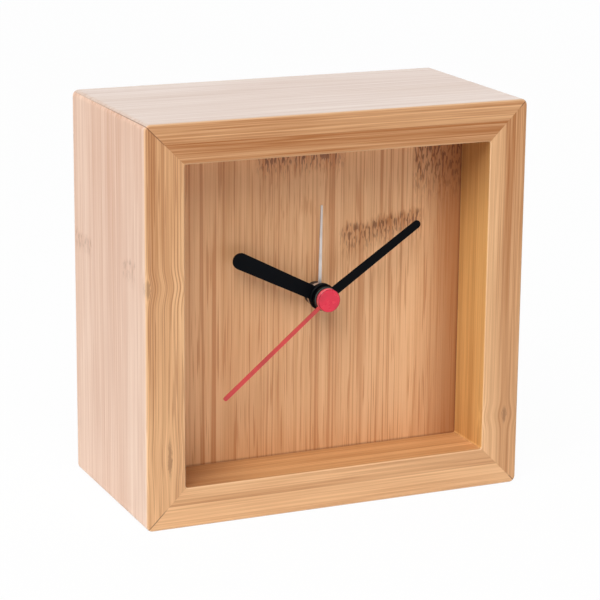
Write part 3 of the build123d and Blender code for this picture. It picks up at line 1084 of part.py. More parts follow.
with BuildPart() as battery_door:
    with BuildSketch(station(DOOR_REAR, CELL_PLACE)):
        RectangleRounded(DOOR_WIDTH + 2 * DOOR_LIP, BAY_HEIGHT + 2 * DOOR_LIP, DOOR_CORNER_RADIUS)
    extrude(amount=DOOR_THICKNESS)
    with BuildSketch(station(COVER_REAR, CELL_PLACE)):
        Rectangle(DOOR_WIDTH - 2 * DOOR_CLEARANCE, BAY_HEIGHT - 2 * DOOR_CLEARANCE)
    extrude(amount=HOUSING_WALL)
    with BuildSketch(station(DOOR_REAR + DOOR_RIB_HEIGHT, CELL_PLACE)):
        with Locations((DOOR_WIDTH / 2 - RIB_ROW, 0)):
            with GridLocations(DOOR_RIB_PITCH, 0, DOOR_RIB_COUNT, 1):
                Rectangle(DOOR_RIB_WIDTH, DOOR_RIB_LENGTH)
    extrude(amount=DOOR_RIB_HEIGHT)
finish(battery_door, "battery_door")
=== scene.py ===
# %% [markdown]
# # A bamboo desk alarm clock
# The clock is a square bamboo box with a dial set deep inside its front, four thin hands, and a quartz
# movement that is reached through a window at the back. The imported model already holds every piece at
# its true size, so this lesson loads it as a fixed frame and spends its time on finishes, light and
# small forms.

# %% Load the frame
import math

import bmesh
import bpy
from mathutils import Matrix, Vector


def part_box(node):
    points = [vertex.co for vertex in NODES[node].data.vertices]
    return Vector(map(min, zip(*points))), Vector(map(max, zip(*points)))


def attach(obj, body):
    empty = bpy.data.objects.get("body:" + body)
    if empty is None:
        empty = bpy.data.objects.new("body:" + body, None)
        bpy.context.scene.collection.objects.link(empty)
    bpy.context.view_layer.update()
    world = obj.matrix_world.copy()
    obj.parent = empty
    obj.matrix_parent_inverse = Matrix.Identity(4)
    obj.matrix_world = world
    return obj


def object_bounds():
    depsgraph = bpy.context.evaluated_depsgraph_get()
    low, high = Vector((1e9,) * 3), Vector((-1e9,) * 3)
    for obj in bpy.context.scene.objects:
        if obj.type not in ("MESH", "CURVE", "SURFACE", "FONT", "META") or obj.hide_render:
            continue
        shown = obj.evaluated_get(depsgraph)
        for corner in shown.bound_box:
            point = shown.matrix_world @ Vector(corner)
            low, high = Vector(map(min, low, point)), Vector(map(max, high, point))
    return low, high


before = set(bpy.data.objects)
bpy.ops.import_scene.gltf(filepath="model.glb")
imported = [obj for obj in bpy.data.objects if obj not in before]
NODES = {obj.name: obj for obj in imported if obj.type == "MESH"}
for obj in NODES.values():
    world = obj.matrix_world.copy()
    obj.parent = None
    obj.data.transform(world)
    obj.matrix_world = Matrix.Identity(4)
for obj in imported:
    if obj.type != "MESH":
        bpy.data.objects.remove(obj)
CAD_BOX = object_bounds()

MM = 0.001
print("pieces in the frame:", len(NODES))

# %% [markdown]
# ## The camera
# The clock was looked at from the left, a little above, through a long lens. A long lens keeps the
# case's edges nearly parallel. The camera is placed by an azimuth, an elevation and a distance from a
# target point, then rolled by half a degree, because that is easier to read and correct than a bare
# matrix.

# %% Place the camera
VIEW_TARGET = Vector((0.897, 0.0, 46.406)) * MM
VIEW_AZIMUTH = math.radians(-23.786)
VIEW_ELEVATION = math.radians(14.687)
VIEW_ROLL = math.radians(0.533)
VIEW_DISTANCE = 603.742 * MM
VIEW_LENS = 143.561
SENSOR_WIDTH = 36.0


def add_object(name, data):
    """A new object in the scene."""
    made = bpy.data.objects.new(name, data)
    bpy.context.scene.collection.objects.link(made)
    return made


towards_camera = Vector((
    math.sin(VIEW_AZIMUTH) * math.cos(VIEW_ELEVATION),
    -math.cos(VIEW_AZIMUTH) * math.cos(VIEW_ELEVATION),
    math.sin(VIEW_ELEVATION),
))
level_right = (-towards_camera).cross(Vector((0, 0, 1))).normalized()
level_up = level_right.cross(-towards_camera)
camera_right = level_right * math.cos(VIEW_ROLL) + level_up * math.sin(VIEW_ROLL)
camera_up = level_up * math.cos(VIEW_ROLL) - level_right * math.sin(VIEW_ROLL)
camera_turn = Matrix((camera_right, camera_up, towards_camera)).transposed().to_4x4()

camera_data = bpy.data.cameras.new("photo_camera")
camera_data.lens = VIEW_LENS
camera_data.sensor_width = SENSOR_WIDTH
camera = add_object("photo_camera", camera_data)
camera.matrix_world = Matrix.Translation(VIEW_TARGET + towards_camera * VIEW_DISTANCE) @ camera_turn
bpy.context.scene.camera = camera
print("camera at", [round(v, 3) for v in camera.location])

# %% [markdown]
# ## Wiring shader nodes
# A material is a graph. Two short helpers keep that graph readable. One feeds a node: each named or
# numbered socket gets either a plain value or the output of a node made before. The other adds a node,
# sets its options and feeds it. The helpers after them are the few sums that every pattern here needs.

# %% Helpers for shader graphs
# A Mix node has sockets for every kind of data. These are the ones for colours.
MIX_FACTOR, MIX_FIRST, MIX_SECOND, MIX_RESULT = 0, 6, 7, 2


def feed(tree, node, sockets):
    """Gives sockets plain values, or links them to the outputs of other nodes."""
    for key, value in sockets.items():
        if isinstance(value, bpy.types.NodeSocket):
            tree.links.new(value, node.inputs[key])
        else:
            node.inputs[key].default_value = value


def put(tree, kind, sockets=None, **options):
    """Adds a node, sets its options and feeds its sockets."""
    made = tree.nodes.new("ShaderNode" + kind)
    for option, value in options.items():
        setattr(made, option, value)
    feed(tree, made, sockets or {})
    return made


def maths(tree, operation, first, second=0.0, clamp=False):
    """One Math node's result."""
    return put(tree, "Math", {0: first, 1: second}, operation=operation, use_clamp=clamp).outputs[0]


def times(tree, product, *factors):
    """A product of two or more values."""
    for factor in factors:
        product = maths(tree, "MULTIPLY", product, factor)
    return product


def apart(tree, first, second):
    """How far two values are apart."""
    return maths(tree, "ABSOLUTE", maths(tree, "SUBTRACT", first, second))


def remap(tree, value, low, high, to_low=0.0, to_high=1.0):
    """A smooth step of a value from one range to another."""
    sockets = {"Value": value, "From Min": low, "From Max": high, "To Min": to_low, "To Max": to_high}
    return put(tree, "MapRange", sockets, interpolation_type="SMOOTHSTEP").outputs["Result"]


def between(tree, share, first, second):
    """The first value where a share is zero, and the second where it is one."""
    return remap(tree, share, 0.0, 1.0, first, second)


def blend(tree, factor, first, second, mode="MIX"):
    """A mix of two colours."""
    sockets = {MIX_FACTOR: factor, MIX_FIRST: first, MIX_SECOND: second}
    return put(tree, "Mix", sockets, data_type="RGBA", blend_type=mode).outputs[MIX_RESULT]


def split(tree, vector):
    """A vector's X, Y and Z."""
    return put(tree, "SeparateXYZ", {0: vector}).outputs


def join(tree, x, y, z):
    """A vector of three values."""
    return put(tree, "CombineXYZ", {0: x, 1: y, 2: z}).outputs[0]


def stretched_noise(tree, vector, stretch, detail=2.0, roughness=0.5):
    """Noise in a space stretched along the grain, as a value about one half."""
    scaled = put(tree, "VectorMath", {0: vector, 1: stretch}, operation="MULTIPLY").outputs[0]
    sockets = {"Vector": scaled, "Scale": 1.0, "Detail": detail, "Roughness": roughness}
    return put(tree, "TexNoise", sockets).outputs["Fac"]


def new_group(name, inputs, outputs):
    """A shader node group, with the name and kind of each socket."""
    group = bpy.data.node_groups.new(name, "ShaderNodeTree")
    for in_out, sockets in (("INPUT", inputs), ("OUTPUT", outputs)):
        for socket_name, kind in sockets.items():
            group.interface.new_socket(socket_name, in_out=in_out, socket_type="NodeSocket" + kind)
    return group, group.nodes.new("NodeGroupInput"), group.nodes.new("NodeGroupOutput")


def use_group(tree, group, sockets):
    """Places a node group in a material with its own values."""
    return put(tree, "Group", sockets, node_tree=group)


def new_material(name):
    """A material with its Principled shader, and the Object coordinates that its patterns read."""
    material = bpy.data.materials.new(name)
    material.use_nodes = True
    tree = material.node_tree
    place = put(tree, "TexCoord").outputs["Object"]
    return material, tree, tree.nodes["Principled BSDF"], place


def finish_surface(tree, shader, colour, marks, height, bump_strength, bump_reach):
    """Feeds a colour, a group's roughness and a fine relief to a shader."""
    bump = put(tree, "Bump", {"Strength": bump_strength, "Distance": bump_reach, "Height": height})
    feed(tree, shader, {
        "Base Color": colour, "Roughness": marks.outputs["Roughness"], "Normal": bump.outputs[0],
    })


def dress(material, *node_names):
    """Gives CAD pieces their finish."""
    for node_name in node_names:
        slots = NODES[node_name].data.materials
        slots.clear()
        slots.append(material)


def srgb(red, green, blue):
    """A colour as it looks on screen, 0 to 255, in the linear values that a shader takes."""
    linear = []
    for part in (red, green, blue):
        share = part / 255
        linear.append(share / 12.92 if share <= 0.04045 else ((share + 0.055) / 1.055) ** 2.4)
    return (*linear, 1.0)


print("helpers ready")

# %% [markdown]
# ## Bamboo
# Laminated bamboo is strips glued side by side and, here, in two plies. Each strip has its own tone.
# Along it run fine pale fibres, crisp threads of darker vessels, and short dashes where a vessel is cut
# open. A box cut from it shows the plies on its front edges and the strips on its broad faces. A solid
# pattern in grain space, with X across the strips, Y through the plies and Z along the grain, gives
# every face the right figure without any unwrapping.
#
# Every line in it is noise that is stretched along the grain: broad and fine streaks add up to a tone,
# the places where another noise passes through its middle value make crisp hairlines, and the peaks of
# others make short needles and dashes.

# %% The bamboo group
# A stretch says how quickly a noise varies across the strips, through the plies and along the grain.
FIBRE_STRETCH = (3000.0, 3000.0, 45.0)
STREAK_STRETCH = (2000.0, 2000.0, 12.0)
BAND_STRETCH = (500.0, 500.0, 5.0)
CLOUD_STRETCH = (70.0, 70.0, 14.0)
LINE_STRETCH = (700.0, 700.0, 1.6)
LINE_FADE_STRETCH = (420.0, 420.0, 16.0)
NEEDLE_STRETCH = (1900.0, 1900.0, 45.0)
DASH_STRETCH = (1900.0, 1900.0, 130.0)
# A span is where in a noise's range a mark starts, and where it is full.
LINE_FADE_SPAN = (0.38, 0.55)
NEEDLE_SPAN = (0.57, 0.67)
DASH_SPAN = (0.55, 0.67)
PALE_LINE_SPAN = (0.44, 0.36)
LINE_WIDTH = 0.06
NEEDLE_STRENGTH = 0.8
FIBRE_STRENGTH = 0.7
CLOUD_STRENGTH = 0.5
INNER_PLY_SHIFT = 0.37
GLUE_LINE_WIDTH = 0.2 * MM
GLUE_DARKNESS = 0.25
VESSEL_DEPTH = 0.8
STREAK_RANGE = (0.3, 0.7)
WOOD_ROUGHNESS = (0.4, 0.54)


def centred(tree, value):
    """A value about one half, moved to be about zero."""
    return maths(tree, "SUBTRACT", value, 0.5)


def peaks(tree, vector, stretch, span):
    """The peaks of stretched noise, from zero at the span's start to one at its end."""
    return remap(tree, stretched_noise(tree, vector, stretch, detail=1.0), *span)


def hairlines(tree, vector, stretch, width):
    """Crisp lines of even width, where stretched noise passes through its middle value."""
    noise = stretched_noise(tree, vector, stretch, detail=0.0)
    return remap(tree, maths(tree, "ABSOLUTE", centred(tree, noise)), width, 0.0)


bamboo, given, result = new_group(
    "bamboo",
    {
        "Grain": "Vector", "Strip Width": "Float", "Ply Line": "Float", "Outer Tone": "Float",
        "Inner Tone": "Float", "Strip Contrast": "Float", "Bands": "Float", "Streaks": "Float",
        "Threads": "Float", "Pale Lines": "Float", "Dashes": "Float", "Seed": "Float",
        "Pale": "Color", "Deep": "Color", "Vessel Brown": "Color",
    },
    {"Color": "Color", "Roughness": "Float", "Height": "Float"},
)
grain = given.outputs["Grain"]
across, depth, _ = split(bamboo, grain)
ply = maths(bamboo, "GREATER_THAN", depth, given.outputs["Ply Line"])
strip_share = maths(
    bamboo,
    "ADD",
    maths(bamboo, "DIVIDE", across, given.outputs["Strip Width"]),
    maths(bamboo, "ADD", times(bamboo, ply, INNER_PLY_SHIFT), given.outputs["Seed"]),
)
strip_key = join(bamboo, maths(bamboo, "FLOOR", strip_share), ply, given.outputs["Seed"])
strip_chance = put(bamboo, "TexWhiteNoise", {"Vector": strip_key}, noise_dimensions="3D")
own_grain = put(
    bamboo, "VectorMath", {0: grain, 1: strip_chance.outputs["Color"]}, operation="ADD"
).outputs[0]

fibres = stretched_noise(bamboo, own_grain, FIBRE_STRETCH, detail=1.0)
streaks = stretched_noise(bamboo, own_grain, STREAK_STRETCH, detail=2.0, roughness=0.6)
bands = stretched_noise(bamboo, own_grain, BAND_STRETCH, detail=2.0, roughness=0.6)
clouds = stretched_noise(bamboo, own_grain, CLOUD_STRETCH)
lines = times(
    bamboo,
    hairlines(bamboo, own_grain, LINE_STRETCH, LINE_WIDTH),
    peaks(bamboo, own_grain, LINE_FADE_STRETCH, LINE_FADE_SPAN),
)
needles = times(bamboo, peaks(bamboo, own_grain, NEEDLE_STRETCH, NEEDLE_SPAN), NEEDLE_STRENGTH)
threads = times(bamboo, maths(bamboo, "MAXIMUM", lines, needles), given.outputs["Threads"])
pale_lines = times(bamboo, remap(bamboo, streaks, *PALE_LINE_SPAN), given.outputs["Pale Lines"])
dashes = times(bamboo, peaks(bamboo, own_grain, DASH_STRETCH, DASH_SPAN), given.outputs["Dashes"])
vessels = maths(bamboo, "MAXIMUM", threads, dashes)

tone = between(bamboo, ply, given.outputs["Outer Tone"], given.outputs["Inner Tone"])
for figure, strength in (
    (strip_chance.outputs["Value"], given.outputs["Strip Contrast"]),
    (bands, given.outputs["Bands"]),
    (streaks, given.outputs["Streaks"]),
    (fibres, FIBRE_STRENGTH),
    (clouds, CLOUD_STRENGTH),
):
    tone = maths(bamboo, "ADD", tone, times(bamboo, centred(bamboo, figure), strength))
tone = maths(bamboo, "ADD", tone, clamp=True)

strip_gap = times(bamboo, maths(bamboo, "PINGPONG", strip_share, 0.5), given.outputs["Strip Width"])
ply_gap = apart(bamboo, depth, given.outputs["Ply Line"])
glue = remap(bamboo, maths(bamboo, "MINIMUM", strip_gap, ply_gap), GLUE_LINE_WIDTH, 0.0)

wood = blend(bamboo, tone, given.outputs["Pale"], given.outputs["Deep"])
wood = blend(bamboo, pale_lines, wood, given.outputs["Pale"])
wood = blend(bamboo, vessels, wood, given.outputs["Vessel Brown"])
wood = blend(bamboo, times(bamboo, glue, GLUE_DARKNESS), wood, given.outputs["Vessel Brown"])
dents = maths(bamboo, "ADD", times(bamboo, vessels, VESSEL_DEPTH), glue)
feed(bamboo, result, {
    "Color": wood,
    "Roughness": remap(bamboo, streaks, *STREAK_RANGE, *WOOD_ROUGHNESS),
    "Height": maths(bamboo, "SUBTRACT", fibres, dents),
})
print("bamboo group:", len(bamboo.nodes), "nodes")

# %% [markdown]
# ## Knuckles
# Where a bamboo cane had a joint, a strip shows a knuckle: a ragged dark band across it, speckled with
# short broken vessels that fade downwards. Each one sits at a known place on the dial or a board, so a
# small group draws one band round a given point, and the materials that need several place it several
# times.

# %% The knuckle group
RAGGED_REACH = 6.0 * MM
RAGGED_STRETCH = (500.0, 500.0, 40.0)
SIDE_FADE = (1.0, 0.8)
SPECK_STRETCH = (2000.0, 2000.0, 440.0)
SPECK_SPAN = (0.5, 0.58)

knuckle, given, result = new_group(
    "knuckle",
    {
        "Grain": "Vector", "Across": "Float", "Along": "Float", "Half Width": "Float",
        "Rise": "Float", "Fall": "Float", "Slant": "Float",
    },
    {"Mask": "Float", "Speckle": "Float"},
)
grain = given.outputs["Grain"]
across, _, along = split(knuckle, grain)
aside = maths(knuckle, "SUBTRACT", across, given.outputs["Across"])
above = maths(knuckle, "SUBTRACT", along, given.outputs["Along"])
above = maths(knuckle, "SUBTRACT", above, times(knuckle, aside, given.outputs["Slant"]))
ragged = centred(knuckle, stretched_noise(knuckle, grain, RAGGED_STRETCH, detail=4.0, roughness=0.75))
above = maths(knuckle, "ADD", above, times(knuckle, ragged, RAGGED_REACH))
top_fade = remap(knuckle, maths(knuckle, "DIVIDE", above, given.outputs["Rise"]), 1.0, 0.0)
bottom_fade = remap(knuckle, maths(knuckle, "DIVIDE", above, given.outputs["Fall"]), -1.0, 0.0)
side_share = maths(knuckle, "DIVIDE", maths(knuckle, "ABSOLUTE", aside), given.outputs["Half Width"])
band = times(knuckle, top_fade, bottom_fade, remap(knuckle, side_share, *SIDE_FADE))
specks = peaks(knuckle, grain, SPECK_STRETCH, SPECK_SPAN)
feed(knuckle, result, {"Mask": band, "Speckle": times(knuckle, specks, band)})
print("knuckle group:", len(knuckle.nodes), "nodes")

# %% [markdown]
# ## Knots
# The front edges of the two sides carry small knots, the stubs of twigs, and the grain flows round them
# like water round a stone. Pushing the pattern's own coordinates apart about a knot bends every line at
# once, and what lies within the push is the dark eye. Real knots are shallow, so the push fades out
# behind the front face.

# %% The knot group
FRONT_FACE = CAD_BOX[0][1]
KNOT_DEPTH = 5.0 * MM
KNOT_STRETCH = (2600.0, 2600.0, 700.0)
KNOT_RAGGEDNESS = 3.0
EYE_EDGE = (1.3, 0.4)
EYE_ENDS = (0.3, 0.9)
LEAST_PUSH = 0.001 * MM

knot, given, result = new_group(
    "knot",
    {"Grain": "Vector", "Through": "Float", "Along": "Float", "Size": "Float", "Length": "Float"},
    {"Grain": "Vector", "Eye": "Float"},
)
grain = given.outputs["Grain"]
across, depth, along = split(knot, grain)
beside = maths(knot, "SUBTRACT", depth, given.outputs["Through"])
reach = maths(knot, "SUBTRACT", along, given.outputs["Along"])
reach = maths(knot, "DIVIDE", reach, given.outputs["Length"])
swell = maths(knot, "EXPONENT", times(knot, reach, reach, -1.0))
shallow = remap(knot, across, FRONT_FACE + KNOT_DEPTH, FRONT_FACE)
push = times(knot, swell, shallow, given.outputs["Size"])
held = maths(knot, "MAXIMUM", beside, times(knot, push, -1.0))
held = maths(knot, "MINIMUM", held, push)
eye_width = maths(knot, "ADD", push, LEAST_PUSH)
eye_share = maths(knot, "DIVIDE", maths(knot, "ABSOLUTE", beside), eye_width)
ragged = centred(knot, stretched_noise(knot, grain, KNOT_STRETCH, detail=3.0, roughness=0.7))
eye_share = maths(knot, "ADD", eye_share, times(knot, ragged, KNOT_RAGGEDNESS))
feed(knot, result, {
    "Grain": join(knot, across, maths(knot, "SUBTRACT", depth, held), along),
    "Eye": times(knot, remap(knot, eye_share, *EYE_EDGE), remap(knot, swell, *EYE_ENDS), shallow),
})
print("knot group:", len(knot.nodes), "nodes")

# %% [markdown]
# ## Finding the way on a board
# A finish has to know where on the clock it is. The direction of a face tells a front edge from a broad
# face, and both at once make a rounded edge. The distance from the case's sides finds the plane through
# its corners at 45 degrees, where two boards meet in a mitre. A hairline of glue shows there. It is dark
# in the outer ply, nearly gone in the inner one, and fades towards the back.

# %% Places on a board
AXES = {"X": 0, "Y": 1, "Z": 2}
CASE_HALF_WIDTH = CAD_BOX[1][0]
CASE_TOP = CAD_BOX[1][2]
CASE_MIDDLE = Vector((0.0, 0.0, CASE_TOP / 2))
FACE_SPAN = (0.4, 0.8)
ARRIS_SPAN = (0.15, 0.5)
SEAM_WIDTH = 0.27 * MM
SEAM_REACHES = (5.2 * MM, 2.2 * MM)
SEAM_DEPTH_SPAN = (0.7, 1.1)
SEAM_STRENGTHS = (0.85, 0.05)
SEAM_FADE_SPAN = (-25.0 * MM, 20.0 * MM)
SEAM_FADE = (1.0, 0.3)


def grain_space(tree, place, across, through, along, outer_face):
    """Object coordinates turned into grain space, and the depth from the outer face in it."""
    parts = split(tree, place)
    depth = apart(tree, parts[AXES[through]], outer_face)
    return join(tree, parts[AXES[across]], depth, parts[AXES[along]]), depth


def facing(tree, axis):
    """How squarely a face looks along an axis, from zero to one."""
    normal = put(tree, "NewGeometry").outputs["Normal"]
    return maths(tree, "ABSOLUTE", split(tree, normal)[AXES[axis]])


def arris(tree, through):
    """One on the rounded edges between a board's front and its faces."""
    return remap(tree, maths(tree, "MINIMUM", facing(tree, "Y"), facing(tree, through)), *ARRIS_SPAN)


def from_sides(tree, place, half_width, half_height):
    """How far a point lies inside a rectangle's upright sides, and inside its level ones."""
    sideways, _, upwards = split(tree, place)
    inside_upright = maths(tree, "SUBTRACT", half_width, maths(tree, "ABSOLUTE", sideways))
    inside_level = maths(tree, "SUBTRACT", half_height, apart(tree, upwards, CASE_MIDDLE.z))
    return inside_upright, inside_level


def mitre_seam(tree, place, depth):
    """The hairline between two boards, fading into the board. It reaches deeper on the left."""
    gap = apart(tree, *from_sides(tree, place, CASE_HALF_WIDTH, CASE_TOP / 2))
    sideways, backwards, _ = split(tree, place)
    reach = remap(tree, sideways, -CASE_HALF_WIDTH, CASE_HALF_WIDTH, *SEAM_REACHES)
    strength = remap(tree, maths(tree, "DIVIDE", depth, reach), *SEAM_DEPTH_SPAN, *SEAM_STRENGTHS)
    strength = times(tree, strength, remap(tree, backwards, *SEAM_FADE_SPAN, *SEAM_FADE))
    return times(tree, remap(tree, gap, SEAM_WIDTH, 0.0), strength)


print("places on a board ready")

# %% [markdown]
# ## Placing knuckles and knots
# A board or panel lists its knuckles and knots in millimetres. Each list becomes a chain of the groups
# above. The strongest of several masks wins, and every knot bends the grain that the one before it left.

# %% Knuckles and knots by list
VESSEL_BROWN = srgb(104, 54, 26)
KNUCKLE_DARKNESS = 0.45
SPECK_DARKNESS = 0.85


def place_knuckles(tree, grain, knuckles):
    """Knuckles as two masks: (across, along, half width, rise, fall, slant, strength), in mm."""
    band, speckle = 0.0, 0.0
    for across, along, half_width, rise, fall, slant, strength in knuckles:
        marks = use_group(tree, knuckle, {
            "Grain": grain, "Across": across * MM, "Along": along * MM, "Half Width": half_width * MM,
            "Rise": rise * MM, "Fall": fall * MM, "Slant": slant,
        })
        band = maths(tree, "MAXIMUM", band, times(tree, marks.outputs["Mask"], strength))
        speckle = maths(tree, "MAXIMUM", speckle, times(tree, marks.outputs["Speckle"], strength))
    return band, speckle


def draw_knuckles(tree, colour, height, band, speckle, brown):
    """Draws knuckles over a wood's colour, and sinks their specks."""
    colour = blend(tree, times(tree, band, KNUCKLE_DARKNESS), colour, brown)
    colour = blend(tree, times(tree, speckle, SPECK_DARKNESS), colour, VESSEL_BROWN)
    return colour, maths(tree, "SUBTRACT", height, speckle)


def add_knots(tree, grain, knots):
    """Bends the grain round knots, (through, along, size, length) in mm, and masks their eyes."""
    eyes = 0.0
    for through, along, size, length in knots:
        bent = use_group(tree, knot, {
            "Grain": grain, "Through": through * MM, "Along": along * MM, "Size": size * MM,
            "Length": length * MM,
        })
        grain = bent.outputs["Grain"]
        eyes = maths(tree, "MAXIMUM", eyes, bent.outputs["Eye"])
    return grain, eyes


print("knuckles and knots ready")

# %% [markdown]
# ## The case's finish
# Each board needs its own material, because the grain runs up the sides and along the top and bottom,
# and because every ply has its own tone. The broad outer faces are paler than the front edges, partly as
# sanded wood and partly as a painted sheen, and the inner walls are a warm orange, so the face's direction
# and its depth in the board choose among three pairs of tones. The top board's face carries more painted
# sheen. The sides also grow deeper upwards, the arrises carry a painted highlight, and painted shade
# darkens the inner corner at the upper right and the one at the lower left.

# %% Bamboo boards
EDGE_TONES = (srgb(246, 196, 145), srgb(172, 106, 51))
# The broad faces are paler than the edges, partly as sanded wood and partly as a painted sheen.
FACE_AND_SHEEN_TONES = (srgb(236, 208, 187), srgb(202, 158, 131))
# The top board's paler, cooler face tones are a painted sheen.
TOP_FACE_SHEEN_TONES = (srgb(223, 206, 192), srgb(190, 157, 136))
WALL_TONES = (srgb(240, 192, 122), srgb(196, 141, 77))
LEDGE_TONES = (srgb(236, 186, 132), srgb(188, 134, 83))
THREAD_BROWN = srgb(160, 95, 49)
# The cream on the rounded arrises is a painted highlight.
ARRIS_HIGHLIGHT_CREAM = srgb(244, 206, 164)
# Painted shade, darkest in an inner corner of the case.
CORNER_SHADE_BROWN = srgb(128, 70, 34)
BOARD_MIDDLE = 5.0 * MM
LIP_SPAN = (6.9 * MM, 7.5 * MM)
STRIP_WIDTH = 22.0 * MM
STRIP_CONTRAST = 0.35
EDGE_BANDS = 0.4
EDGE_PALE_LINES = 0.25
KNUCKLE_DASHES = 0.6
KNOT_DARKNESS = 0.45
CORNER_SHADE = 0.5
ARRIS_HIGHLIGHT = 0.42
BOARD_BUMP = 0.12
GRAIN_REACH = 0.3 * MM
LEVEL = (0.0, 0.0, 0.0)


def board_finish(
    name, through, along, outer_face, ply_line, tones, seed, figure, knuckles=(), knots=(),
    face_tones=FACE_AND_SHEEN_TONES, wall_tones=WALL_TONES, leans=LEVEL, shaded_corner=None,
):
    """The finish of one case board.

    Tones are those of the outer ply, the inner ply and the inner lip on the front edge. The figure holds
    the tones of the outer face and the inner wall, and how strong the marks are on both and on the edge.
    Along the grain, the outer face, the outer ply and the inner ply each grow deeper by a lean.
    A shaded corner is where along the grain the inner wall ends, and how far its painted shade reaches, in
    mm.
    """
    material, tree, shader, place = new_material(name)
    grain, depth = grain_space(tree, place, "Y", through, along, outer_face)
    run = split(tree, grain)[2]
    broad = maths(tree, "SUBTRACT", 1.0, remap(tree, facing(tree, "Y"), *FACE_SPAN))
    inside = maths(tree, "GREATER_THAN", depth, BOARD_MIDDLE)
    pale, deep = (
        blend(tree, broad, edge, blend(tree, inside, face, wall))
        for edge, face, wall in zip(EDGE_TONES, face_tones, wall_tones)
    )
    outer_tone, inner_tone, lip_tone = tones
    face_tone, outer_tone, inner_tone = (
        remap(tree, run, 0.0, CASE_TOP, tone - lean / 2, tone + lean / 2) if lean else tone
        for tone, lean in zip((figure["face_tone"], outer_tone, inner_tone), leans)
    )
    inner_tone = remap(tree, depth, *LIP_SPAN, inner_tone, lip_tone)
    bent_grain, eyes = add_knots(tree, grain, knots)
    band, speckle = place_knuckles(tree, grain, knuckles)
    wood = use_group(tree, bamboo, {
        "Grain": bent_grain, "Strip Width": STRIP_WIDTH, "Ply Line": ply_line * MM, "Seed": seed,
        "Outer Tone": between(tree, broad, outer_tone, face_tone),
        "Inner Tone": between(tree, broad, inner_tone, figure["wall_tone"]),
        "Bands": between(tree, broad, EDGE_BANDS, figure["bands"]),
        "Streaks": between(tree, broad, figure["edge_streaks"], figure["streaks"]),
        "Threads": between(tree, broad, figure["edge_threads"], figure["threads"]),
        "Pale Lines": between(tree, broad, EDGE_PALE_LINES, 0.0),
        "Strip Contrast": STRIP_CONTRAST, "Dashes": times(tree, band, KNUCKLE_DASHES),
        "Pale": pale, "Deep": deep, "Vessel Brown": THREAD_BROWN,
    })
    colour, height = draw_knuckles(
        tree, wood.outputs["Color"], wood.outputs["Height"], band, speckle, FACE_AND_SHEEN_TONES[1]
    )
    colour = blend(tree, times(tree, eyes, KNOT_DARKNESS), colour, VESSEL_BROWN)
    # Painted shade darkens the inner wall towards a corner.
    if shaded_corner:
        corner, corner_reach = shaded_corner
        near = remap(tree, apart(tree, run, corner * MM), corner_reach * MM, 0.0)
        colour = blend(tree, times(tree, near, CORNER_SHADE, inside, broad), colour, CORNER_SHADE_BROWN)
    # A painted highlight on the rounded arrises.
    colour = blend(tree, times(tree, arris(tree, through), ARRIS_HIGHLIGHT), colour, ARRIS_HIGHLIGHT_CREAM)
    colour = blend(tree, mitre_seam(tree, place, depth), colour, VESSEL_BROWN)
    finish_surface(tree, shader, colour, wood, height, BOARD_BUMP, GRAIN_REACH)
    return material


CALM_FIGURE = {
    "face_tone": 0.52, "wall_tone": 0.66, "bands": 0.5, "streaks": 0.7, "threads": 0.06,
    "edge_streaks": 0.7, "edge_threads": 0.06,
}
LEDGE_FIGURE = {
    "face_tone": 0.52, "wall_tone": 0.62, "bands": 1.4, "streaks": 1.2, "threads": 0.15,
    "edge_streaks": 0.7, "edge_threads": 0.06,
}
STRIPED_FIGURE = {
    "face_tone": 0.5, "wall_tone": 0.3, "bands": 0.9, "streaks": 0.8, "threads": 0.15,
    "edge_streaks": 0.9, "edge_threads": 0.6,
}
PLAIN_FIGURE = {
    "face_tone": 0.42, "wall_tone": 0.32, "bands": 1.0, "streaks": 1.3, "threads": 0.2,
    "edge_streaks": 0.7, "edge_threads": 0.15,
}
LEFT_KNUCKLES = ((18.5, 62.5, 7.0, 2.0, 5.0, 0.0, 0.45), (-15.0, 63.5, 5.0, 2.0, 6.0, 0.0, 0.4))
LEFT_KNOTS = ((0.6, 60.0, 0.7, 3.0), (6.0, 18.0, 0.5, 6.0))
RIGHT_KNOTS = ((3.9, 18.4, 0.7, 2.6),)
dress(
    board_finish(
        "bamboo_top", "Z", "X", CASE_TOP, ply_line=4.95, tones=(0.6, 0.98, 0.85), seed=1.0,
        figure=CALM_FIGURE, face_tones=TOP_FACE_SHEEN_TONES,
    ),
    "case_top",
)
dress(
    board_finish(
        "bamboo_bottom", "Z", "X", 0.0, ply_line=5.7, tones=(0.0, 0.43, 0.28), seed=2.0,
        figure=LEDGE_FIGURE, wall_tones=LEDGE_TONES, shaded_corner=(-40.0, 26.0),
    ),
    "case_bottom",
)
dress(
    board_finish(
        "bamboo_left", "X", "Z", -CASE_HALF_WIDTH, ply_line=4.3, tones=(0.48, 0.34, 0.28), seed=3.45,
        figure=STRIPED_FIGURE, knuckles=LEFT_KNUCKLES, knots=LEFT_KNOTS, leans=(0.25, 0.36, 0.14),
    ),
    "case_left",
)
dress(
    board_finish(
        "bamboo_right", "X", "Z", CASE_HALF_WIDTH, ply_line=5.6, tones=(0.68, 0.22, 0.14), seed=4.0,
        figure=PLAIN_FIGURE, knots=RIGHT_KNOTS, leans=(0.0, 0.25, 0.16), shaded_corner=(89.0, 26.0),
    ),
    "case_right",
)
print("case boards dressed")
